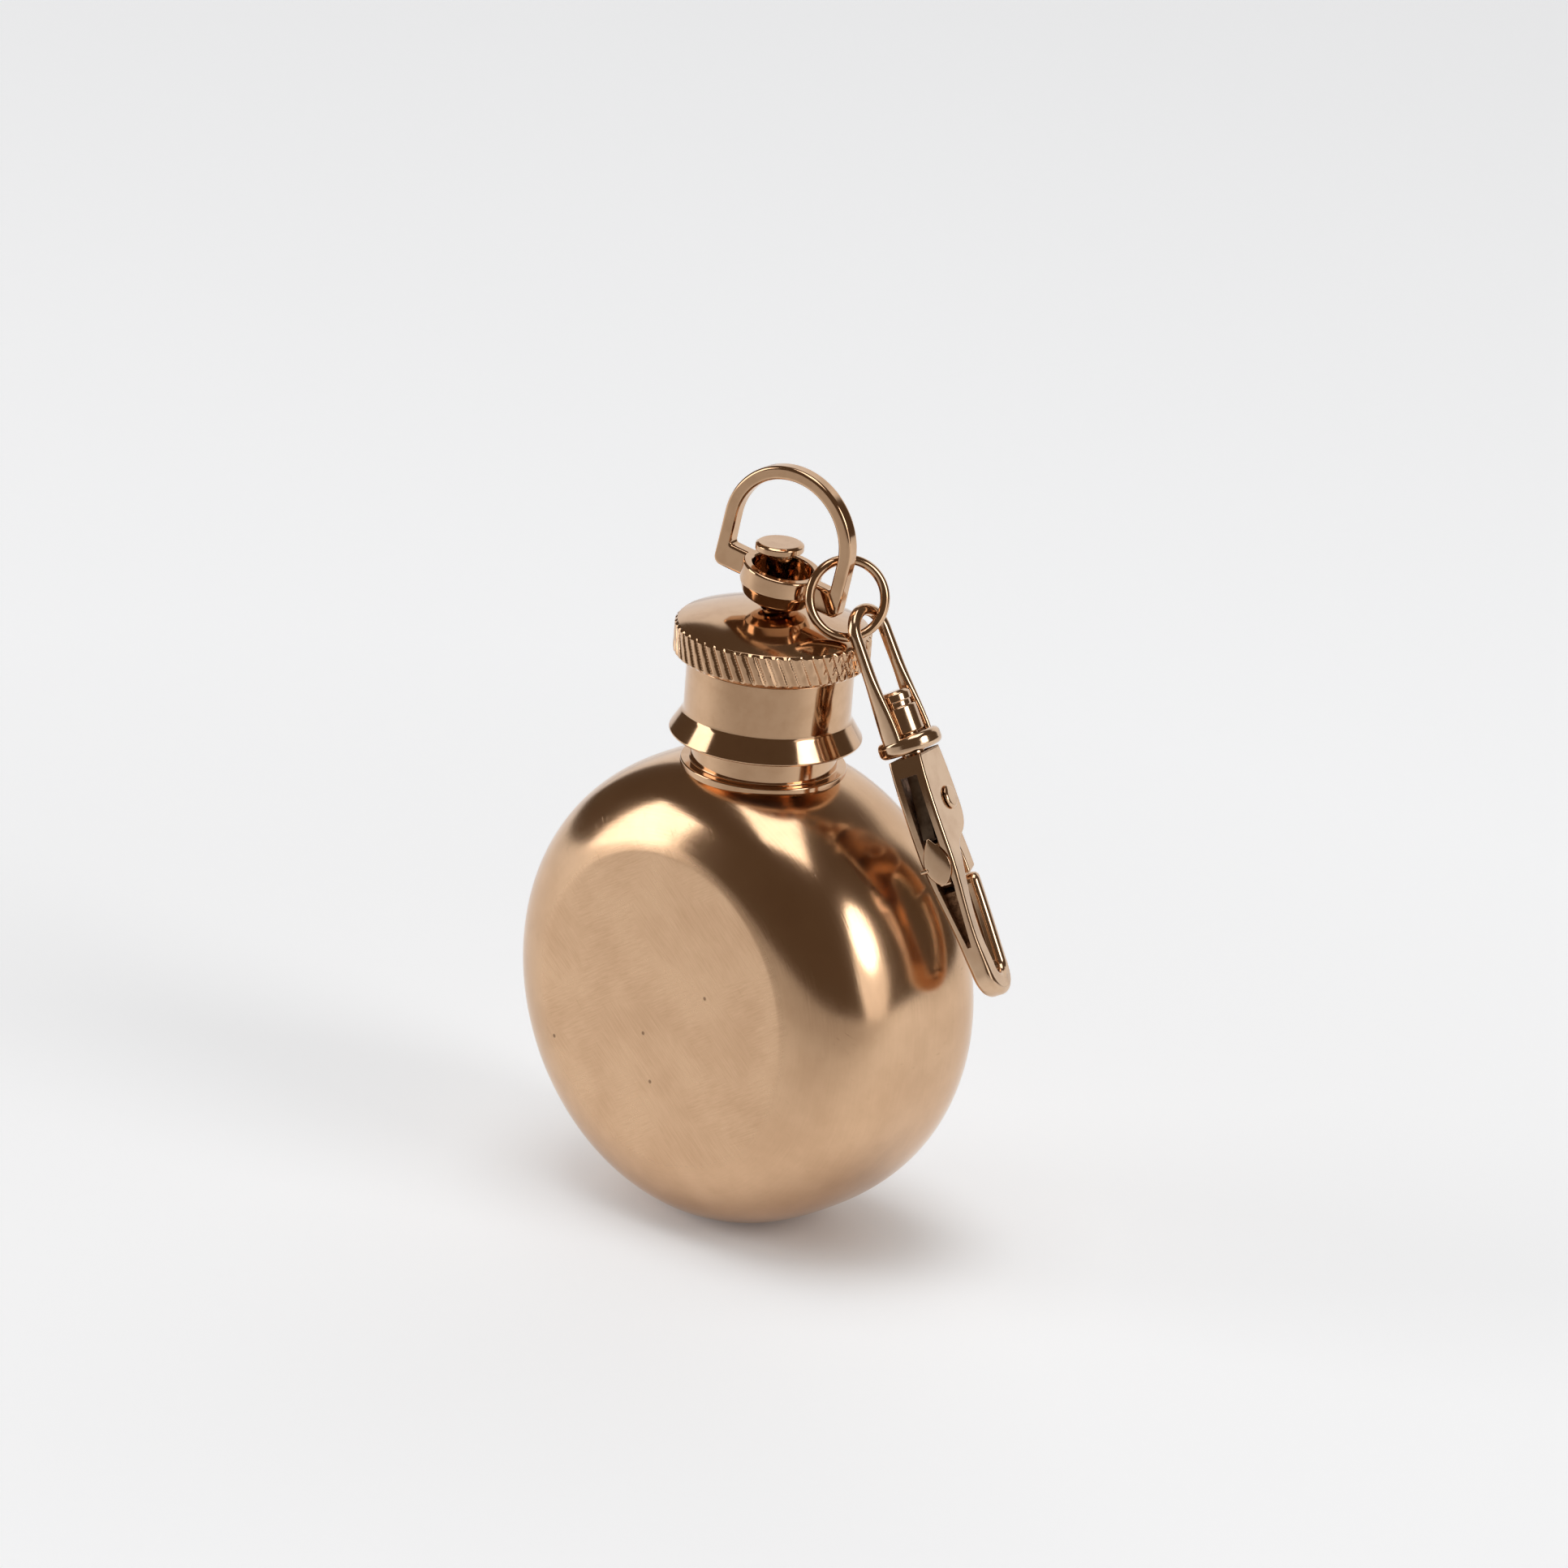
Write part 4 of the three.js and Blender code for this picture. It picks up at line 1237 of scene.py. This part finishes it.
@dataclass
class Ring:
    """The open wire ring between bail and clasp."""

    bail: Bail
    cap_top: float = 57.0954
    outer: float = 8.0
    wire: float = 0.9
    gap: float = 0.4
    slit_from: float = 2.7
    beyond: float = 0.4
    behind: float = 0.5
    clear: float = 0.45
    twist: float = 46.0
    lean: float = 20.3
    hang: float = -38.4

    @property
    def radius(self) -> float:
        """Returns the radius of the wire's middle line."""
        return (self.outer - self.wire) / 2

    @property
    def place(self) -> Array:
        """Returns the place of the ring's own frame, in whose x-z plane it lies."""
        drop = self.radius * math.cos(math.radians(self.lean)) + self.wire / 2
        to = shift(self.bail.width / 2 + self.beyond, self.behind, self.cap_top + self.clear + drop)
        return spin(Axis.Z, self.bail.yaw) @ to @ spin(Axis.Z, self.twist) @ spin(Axis.X, -self.lean)

    def build(self) -> None:
        """Makes the wire: a circle cut by a slit, (r cos a, 0, r sin a), with rounded ends."""
        slit = self.gap / self.radius
        start = math.radians(self.hang) - self.slit_from / self.radius
        reach = TUBE_END * self.wire / 2 / self.radius
        angle = np.linspace(start + slit / 2 + reach, start + 2 * math.pi - slit / 2 - reach, 150)
        path = self.radius * np.column_stack([np.cos(angle), 0 * angle, np.sin(angle)])
        form = tube(path, (0, 1, 0), self.wire / 2, self.wire / 2, 28).placed(self.place)
        form.piece("ring_wire").dress(BUFFED, Slot.POLISHED, "ring", "jump_ring")


@dataclass
class Clasp:
    """The swivel clasp: eye, pin, hook and sprung gate."""

    ring: Ring
    body: Body
    eye_wire: float = 1.1
    eye_width: float = 4.6
    eye_foot: float = 5.0
    link_gap: float = 0.8
    strap_width: float = 2.0
    strap_thickness: float = 0.75
    collar: float = 6.0
    collar_drop: float = 12.1
    collar_height: float = 1.6
    pin: float = 2.2
    pin_boss: float = 3.5
    pin_boss_height: float = 2.5
    pin_head: float = 3.2
    pin_head_height: float = 1.0
    pin_groove: float = 0.5
    pin_foot: float = 1.6
    swivel_gap: float = 0.15
    azimuth: float = 7.8
    roll: float = 14.0
    standoff: float = 3.6
    thickness: float = 3.3
    toe_thickness: float = 1.9
    nose_thickness: float = 1.5
    toe_width: float = 5.4
    toe_depth: float = 2.1
    toe_eye: float = 1.0
    toe_eye_offset: float = 0.35
    width: float = 6.8
    length: float = 23.6
    top_width: float = 5.0
    spine: float = 2.4
    nose: float = 1.6
    slot_width: float = 1.7
    slot_roof: float = 1.8
    web: float = 0.65
    web_share: float = 0.58
    pivot_drop: float = 4.9
    pivot_offset: float = 0.5
    gate_reach: float = 7.4
    gate_thickness: float = 1.3
    gate_leg: float = 1.75
    gate_gap: float = 0.35
    tab_half: float = 1.3
    tab_dome: float = 0.17
    knob: float = 0.2
    run_out: float = 5.2
    run_out_depth: float = 0.75
    rivet_head: float = 2.4
    rivet_stem: float = 1.2
    rivet_dome: float = 0.3
    edge: float = 0.3
    nose_edge: float = 0.6

    @property
    def place(self) -> Array:
        """Returns the place of the clasp's own frame: its top hangs in the ring and it leans on the body."""
        hang = math.radians(self.ring.hang)
        reach = self.ring.radius - self.ring.wire / 2 - self.link_gap - self.eye_wire / 2
        spot = self.ring.place @ np.array([reach * math.cos(hang), 0.0, reach * math.sin(hang), 1.0])
        facing = math.radians(self.azimuth)
        along = spot[0] * math.cos(facing) + spot[1] * math.sin(facing)
        aside = spot[1] * math.cos(facing) - spot[0] * math.sin(facing)
        above = spot[2] - self.body.centre
        clear = math.sqrt((self.body.radius + self.standoff) ** 2 - aside**2)
        lean = math.asin(clear / math.hypot(along, above)) - math.atan2(along, above)
        return shift(*spot[:3]) @ spin(Axis.Z, self.azimuth) @ spin(Axis.Y, -math.degrees(lean))

    @property
    def hook_place(self) -> Array:
        """Returns the place of the hook's own frame, rolled about the swivel."""
        return self.place @ spin(Axis.Z, self.roll)

    @property
    def top(self) -> float:
        """Returns the level of the hook's top under the eye."""
        return -self.collar_drop - self.collar_height - self.swivel_gap

    @property
    def end(self) -> float:
        """Returns the level of the hook's toe."""
        return self.top - self.length

    @property
    def pivot(self) -> tuple[float, float]:
        """Returns the place of the gate's rivet in (y, z)."""
        return self.pivot_offset, self.top - self.pivot_drop

    @property
    def web_top(self) -> float:
        """Returns the level where the slot ends and the web begins."""
        return self.pivot[1] - self.gate_reach * self.web_share

    @property
    def channel_floor(self) -> float:
        """Returns the y of the channel's floor in the spine."""
        return -self.width / 2 + self.spine - self.web

    def below(self, y: float, reach: float) -> float:
        """Returns the height of a circle about the pivot, under a given y."""
        return self.pivot[1] - math.sqrt(reach**2 - (y - self.pivot[0]) ** 2)

    def eye(self) -> Form:
        """The loop of the eye on its collar: a wire that flattens into a strap towards both feet.

        Returns:
            Both surfaces.
        """
        half, foot = self.eye_width / 2, self.eye_foot / 2
        drop = self.collar_drop + self.collar_height / 2
        bow = np.linspace(0.0, math.pi, 60)
        over = np.column_stack([-half * np.cos(bow), half * np.sin(bow) - half])
        route = even(np.vstack([[[-foot, -drop]], over, [[foot, -drop]]]), 150)
        flat = smooth(-route[:, 1] / drop, 0.4, 0.92)
        thin = (self.eye_wire + (self.strap_thickness - self.eye_wire) * flat) / 2
        broad = (self.eye_wire + (self.strap_width - self.eye_wire) * flat) / 2
        path = np.column_stack([0 * route[:, 0], route])
        low, high = -self.collar_drop - self.collar_height, -self.collar_drop
        bore, outer = self.pin / 2 + self.swivel_gap, self.collar / 2
        collar = [(bore, low, 0.1), (outer, low, 0.55), (outer, high, 0.6), (bore, high, 0.2)]
        return tube(path, (1, 0, 0), thin, broad, 24, 2.5) + turned(collar, 96, closed=True)

    def swivel_pin(self) -> Form:
        """Returns the pin: shank, boss, groove and rounded head."""
        shank, boss, head = self.pin / 2, self.pin_boss / 2, self.pin_head / 2
        seat = -self.collar_drop + self.swivel_gap
        boss_top = seat + self.pin_boss_height
        head_low = boss_top + self.pin_groove
        head_top = head_low + self.pin_head_height
        foot, neck = self.top - self.pin_foot, boss * 0.8
        corners = [
            (0, foot, 0),
            (shank, foot, 0.1),
            (shank, seat, 0.05),
            (boss, seat, 0.12),
            (boss, boss_top, 0.25),
            (neck, boss_top, 0.06),
            (neck, head_low, 0.06),
            (head, head_low, 0.15),
            (head, head_low + 0.7 * self.pin_head_height, 0.2),
            (head * 0.8, head_top, 0.25),
            (0, head_top, 0),
        ]
        return turned(corners, 72)

    def hook(self) -> Form:
        """The hook as one bar from its top down the spine, round the toe and up the nose.

        Each station joins a point of the outer edge to one of the inner edge: level cuts down to the toe,
        rays about the toe's centre, then level cuts up to the slanting tip of the nose.

        Returns:
            The closed surface.
        """
        py, pz = self.pivot
        out, web_top = -self.width / 2, self.web_top
        inner, nose_out = out + self.spine, self.width / 2
        nose_in, toe = nose_out - self.nose + 0.2, self.toe_width / 2
        toe_level, tip_level = self.end + toe, self.below(nose_out, self.gate_reach + self.gate_gap)
        eye, eye_at = self.toe_eye, self.toe_eye_offset
        eye_level = self.end + self.toe_depth + eye
        half, between = self.top_width / 2, (self.top + self.pivot[1]) / 2
        left = np.vstack(
            [
                bent((-half, self.top), (out, between), (out, web_top), 40),
                bent((out, web_top), (out, (web_top + toe_level) / 2), (-toe, toe_level), 40)[1:],
            ]
        )
        crotch = (py, pz - self.gate_reach * 0.48)
        lobe = (nose_out * 0.8, pz - self.pivot_drop / 4)
        fork = (inner, web_top - self.spine / 2)
        right = np.vstack(
            [
                bent((half, self.top), (nose_out * 0.85, between), lobe, 30),
                bent(lobe, (nose_out * 0.72, pz - self.gate_reach * 0.42), crotch, 40)[1:],
                bent(crotch, (inner, web_top), fork, 30)[1:],
                bent(fork, (inner - 1.3, (web_top + eye_level) / 2), (eye_at - eye, eye_level), 30)[1:],
            ]
        )
        right = even(right, 170)
        right[0, 1] -= self.edge
        level = np.interp(-right[:, 1], -left[:, 1], left[:, 0])
        bow = np.radians(np.linspace(180.0, 360.0, 60))[1:]
        ray = np.column_stack([np.cos(bow), np.sin(bow)])
        tips = [(y, self.below(y, self.gate_reach + self.gate_gap) - self.nose_edge) for y in (nose_out, nose_in)]
        outer = np.vstack(
            [
                np.column_stack([level, right[:, 1]]),
                np.array([0.0, toe_level]) + toe * ray,
                bent((toe, toe_level), (nose_out, (toe_level + tip_level) / 2), tips[0], 40)[1:],
            ]
        )
        inside = np.vstack(
            [
                right,
                np.array([eye_at, eye_level]) + eye * ray,
                bent((eye_at + eye, eye_level), (nose_in, (eye_level + tip_level) / 2), tips[1], 40)[1:],
            ]
        )
        y, z = ((outer + inside) / 2).T
        thick = self.thickness + (self.toe_thickness - self.thickness) * smooth(-z, -web_top, -self.end - 5.0)
        aside = smooth(y, py, nose_out) * smooth(-z, -web_top, self.gate_reach + self.gate_gap - pz)
        depth = thick + (self.nose_thickness - thick) * aside
        low = smooth(-z, -toe_level - 3.0, -self.end)
        softer = np.maximum(smooth(y, eye_at, nose_in) * (z < web_top), low)
        return strip(outer, inside, depth, self.edge + (self.nose_edge - self.edge) * softer, False)

    def slots(self) -> tuple[Form, Form, Form]:
        """The slot between the cheeks, the channel of the tail and its run-out that narrows towards the toe.

        Returns:
            The three forms.
        """
        half, floor, beyond = self.slot_width / 2, self.channel_floor, -6.0
        roof, into = self.top - self.slot_roof, self.web_top + 0.5
        low, tab_low = self.end + self.run_out, self.pivot[1] - self.gate_reach - 0.3
        shallow, lap = floor - self.run_out_depth, tab_low + 0.05
        slot = [(beyond, self.web_top), (-beyond, self.web_top), (-beyond, roof), (beyond, roof)]
        channel = [(beyond + 0.1, tab_low), (floor, tab_low), (floor, into), (beyond + 0.1, into)]
        run_out = [
            (beyond + 0.2, low),
            (-2.9, low),
            (shallow, low + 0.8),
            (shallow, tab_low - 0.5),
            (floor - 0.02, lap),
            (beyond + 0.2, lap),
        ]
        narrow = np.array([0.2, 0.2, 0.3, 0.75, 0.8, 0.8])
        return (
            prism(np.array(slot), np.full(4, half)),
            prism(np.array(channel), np.full(4, half - 0.02)),
            prism(np.array(run_out), narrow),
        )

    def gate(self) -> Form:
        """The closing leg and the tail of the lever, each a bar between two curves, and the round hub.

        Returns:
            The surfaces.
        """
        py, pz = self.pivot
        hub = self.slot_roof - self.gate_gap
        crotch = pz - self.gate_reach * 0.36
        tip_out = self.width / 2 - 0.15
        tip_in = tip_out - self.gate_leg
        fillet, thick = 0.2, self.gate_thickness
        tips = [(y, self.below(y, self.gate_reach) + fillet) for y in (tip_out, tip_in)]
        outer = bent((py + hub * 0.8, pz + hub * 0.3), (tip_out, pz - self.gate_leg), tips[0], 60)
        fork = (py - self.gate_leg / 2, crotch)
        inner = np.vstack(
            [
                np.linspace((py - hub * 0.5, pz - hub * 0.3), fork, 12),
                bent(fork, (tip_in, crotch - self.gate_leg / 2), tips[1], 40)[1:],
            ]
        )
        leg = strip(even(outer, 50), even(inner, 50), thick, fillet, False)
        out, tail_in = -self.width / 2, self.channel_floor - self.gate_gap
        tab_top, tab_low = pz - self.gate_reach * 0.5, pz - self.gate_reach + fillet
        back = [(py - hub * 0.8, pz + hub * 0.3), ((tail_in + out) / 2 - 0.25, tab_top), (out + 0.15, tab_low)]
        front = [(py + 0.2, crotch + 0.6), (tail_in, tab_top - 0.3), (tail_in, tab_low)]
        tail = strip(even(np.array(back), 40), even(np.array(front), 40), thick, fillet, False)
        disc = plug(hub, -thick / 2, thick / 2, 72, 0.15).placed(shift(0, py, pz) @ spin(Axis.Y, 90.0))
        return leg + tail + disc

    def tab(self) -> Form:
        """The thumb tab: a leaf-shaped pad, its half width along x a sine of the height, and the knob beside it.

        Returns:
            Both surfaces.
        """
        low, back = self.pivot[1] - self.gate_reach * 0.99, -self.width / 2
        rise, angle = np.linspace(0.0, 1.0, 41)[:, None], circle(40)
        wide = self.tab_half * np.sin(math.pi * rise**0.8) ** 0.9 + 1e-4
        deep = self.tab_dome * np.sin(math.pi * rise) ** 0.5 + 1e-4
        z = low + self.gate_reach * 0.62 * rise + 0 * angle
        y = back - 0.21 + deep * np.sin(angle)
        at = shift(-self.tab_half, back - 0.26, low + self.gate_reach * 0.24) @ spin(Axis.Y, 90.0)
        knob = plug(self.knob, -0.45, 0.3, 32, 0.12).placed(at)
        return Form.of_grid(np.stack([wide * np.cos(angle), y, z], axis=-1)) + knob

    def gate_rivet(self) -> Form:
        """Returns the rivet of the gate with a domed head on each cheek."""
        stem, head, seat = self.rivet_stem / 2, self.rivet_head / 2, self.thickness / 2 + 0.1
        half = [(stem, 0, 0), (stem, seat, 0.05), (head, seat, 0.06)]
        half += [(head * 0.8, seat + self.rivet_dome - 0.04, 0.3), (0, seat + self.rivet_dome, 0)]
        lower = [(r, -z, f) for r, z, f in half[:0:-1]]
        place = self.hook_place @ shift(0, *self.pivot) @ spin(Axis.Y, 90.0)
        return turned(lower + half, 64).placed(place)

    def build(self, nodes: dict) -> None:
        """Makes each piece of the clasp and finishes its leaf spring.

        Args:
            nodes: The frame's nodes by name.
        """
        self.eye().placed(self.place).piece("eye_forged").dress(CLASP, Slot.POLISHED, "eye", "clasp_eye")
        pin = self.swivel_pin().placed(self.place).piece("pin_turned")
        pin.dress(CLASP, Slot.POLISHED, "hook", "clasp_swivel_pin")
        hook = self.hook().placed(self.hook_place).piece("hook_cast", 40.0)
        hook.made.data.materials.append(CLASP.material())
        # The faces that the slots leave take the cast finish, whose darker colour is painted shade in the channel.
        for cut in self.slots():
            hook.combine(cut.placed(self.hook_place), Cut.TAKE_OFF, CAST_WITH_PAINTED_SHADE.material())
        hook.dress(CLASP, Slot.POLISHED, "hook", "clasp_hook")
        gate = (self.gate() + self.tab()).placed(self.hook_place).piece("gate_lever")
        gate.dress(CLASP, Slot.POLISHED, "gate", "clasp_gate")
        self.gate_rivet().piece("gate_rivet").dress(CLASP, Slot.POLISHED, "hook", "gate_pin")
        refinish(nodes["gate_spring"], SPRING)


def refinish(node: bpy.types.Object, finish: Finish) -> None:
    """Gives a node that keeps its own shape a finish.

    Args:
        node: Object of the node.
        finish: The finish.
    """
    if len(node.data.materials) == 0:
        node.data.materials.append(None)
    for i in range(len(node.data.materials)):
        node.data.materials[i] = finish.material()
    log.info("%s keeps its solid, finished as %s", node.name, finish.name)


@dataclass(frozen=True)
class Softbox:
    """A soft light: bearing from the front towards +X and height in degrees, size in metres, radiance."""

    name: str
    bearing: float
    rise: float
    wide: float
    tall: float
    radiance: float
    outline: Outline = Outline.RECTANGLE
    distance: float = 1.0

    def build(self, target: Vector) -> None:
        """Adds the light, facing the object.

        Args:
            target: Middle of the object.
        """
        around, up = math.radians(self.bearing), math.radians(self.rise)
        out = Vector((math.sin(around) * math.cos(up), -math.cos(around) * math.cos(up), math.sin(up)))
        lamp = bpy.data.lights.new(self.name, "AREA")
        lamp.shape, lamp.size, lamp.size_y = self.outline.name, self.wide, self.tall
        lamp.energy = self.radiance * math.pi * self.wide * self.tall * self.outline.value
        made = bpy.data.objects.new(self.name, lamp)
        made.location = target + out * self.distance
        made.rotation_mode = "QUATERNION"
        made.rotation_quaternion = (-out).to_track_quat("-Z", "Y")
        bpy.context.scene.collection.objects.link(made)


@dataclass
class Studio:
    """The pale floor, the soft lights, the surroundings and the camera."""

    target: tuple[float, float, float] = (0.0, 0.0, 0.032)
    eye: tuple[float, float, float] = (0.60057486, -0.69439510, 0.3813309)
    right: tuple[float, float, float] = (0.73799468, 0.67088159, 0.07267563)
    up: tuple[float, float, float] = (-0.28448173, 0.21165042, 0.93502633)
    back: tuple[float, float, float] = (0.61191013, -0.71071935, 0.34705044)
    lens: float = 243.8
    floor_size: float = 3.0
    floor_gap: float = 0.02
    dim: Colour = (0.105, 0.074, 0.050, 1.0)
    backdrop: Colour = (0.9, 0.9, 0.9, 1.0)
    pale: Colour = (0.88, 0.88, 0.88, 1.0)
    backdrop_cosine: float = 0.62
    backdrop_top: tuple[float, float] = (0.56, 0.67)
    slope_from: float = 0.2
    slope: float = 3.0
    lights: list[Softbox] = field(
        default_factory=lambda: [
            Softbox("left_softbox", -50.0, 14.0, 0.44, 0.66, 2.6),
            Softbox("right_softbox", 101.0, 31.0, 0.42, 0.52, 3.6, Outline.ELLIPSE),
            Softbox("right_diffuser", 98.0, 15.0, 0.60, 0.80, 1.1, Outline.ELLIPSE),
            Softbox("top_softbox", -50.0, 86.5, 0.76, 0.60, 2.35),
        ]
    )

    def camera(self) -> None:
        """Adds the camera at the photograph's angle."""
        data = bpy.data.cameras.new("photo_camera")
        data.sensor_width, data.lens = 36.0, self.lens
        data.clip_start, data.clip_end = 0.01, 50.0
        made = bpy.data.objects.new("photo_camera", data)
        turn = Matrix((self.right, self.up, self.back)).transposed().to_4x4()
        made.matrix_world = Matrix.Translation(Vector(self.eye)) @ turn
        bpy.context.scene.collection.objects.link(made)
        bpy.context.scene.camera = made

    def floor(self) -> None:
        """Adds the floor, a level grid just under the foot."""
        line = np.linspace(-self.floor_size / 2, self.floor_size / 2, 9) / MM
        x, y = np.meshgrid(line, line)
        piece = Form.of_grid(np.stack([x, y, 0 * x - self.floor_gap], axis=-1), wrap_columns=False).piece("floor")
        if piece.made.data.polygons[0].normal.z < 0:
            piece.made.data.flip_normals()
        piece.made.data.materials.append(FLOOR.material())

    def surroundings(self) -> None:
        """A dim room with a white backdrop behind the object; the camera itself sees plain pale grey.

        The backdrop is where a direction points away from the camera within about 50 degrees and lies
        lower than about 35 degrees; its top edge falls away towards the left.
        """
        world = bpy.data.worlds.new("studio")
        world.use_nodes = True
        bpy.context.scene.world = world
        graph = Graph(world.node_tree)
        x, y, z = graph.sides(graph.node("ShaderNodeTexCoord", output="Generated"))
        level = math.hypot(self.back[0], self.back[1])
        to_x, to_y = -self.back[0] / level, -self.back[1] / level
        away = x * to_x + y * to_y
        past = x * -to_y + y * to_x - self.slope_from
        leftward = (abs(past) + past) * 0.5
        flat = (x * x + y * y) ** 0.5
        under = 1 - (z + leftward * self.slope).between(*self.backdrop_top)
        behind = (away - flat * self.backdrop_cosine).between(-0.04, 0.06) * under
        seen = graph.node("ShaderNodeLightPath", output="Is Camera Ray")
        tone = graph.mix(seen, graph.mix(behind, self.dim, self.backdrop), self.pale)
        light = graph.node("ShaderNodeBackground", values={"Color": tone, "Strength": 1.0})
        graph.node("ShaderNodeOutputWorld", values={"Surface": light})

    def build(self) -> None:
        """Sets up everything round the object."""
        bpy.context.scene.view_settings.view_transform = "Standard"
        self.camera()
        self.floor()
        self.surroundings()
        for light in self.lights:
            light.build(Vector(self.target))


def main() -> None:
    """Loads the frame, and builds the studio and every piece."""
    logging.basicConfig(level=logging.INFO, format="%(name)s: %(message)s")
    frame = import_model()
    Studio().build()
    body = Body()
    body.build()
    Neck(body).build()
    Cap().build(frame["nodes"])
    bail = Bail()
    bail.build()
    ring = Ring(bail)
    ring.build()
    Clasp(ring, body).build(frame["nodes"])


if __name__ == "__main__":
    main()
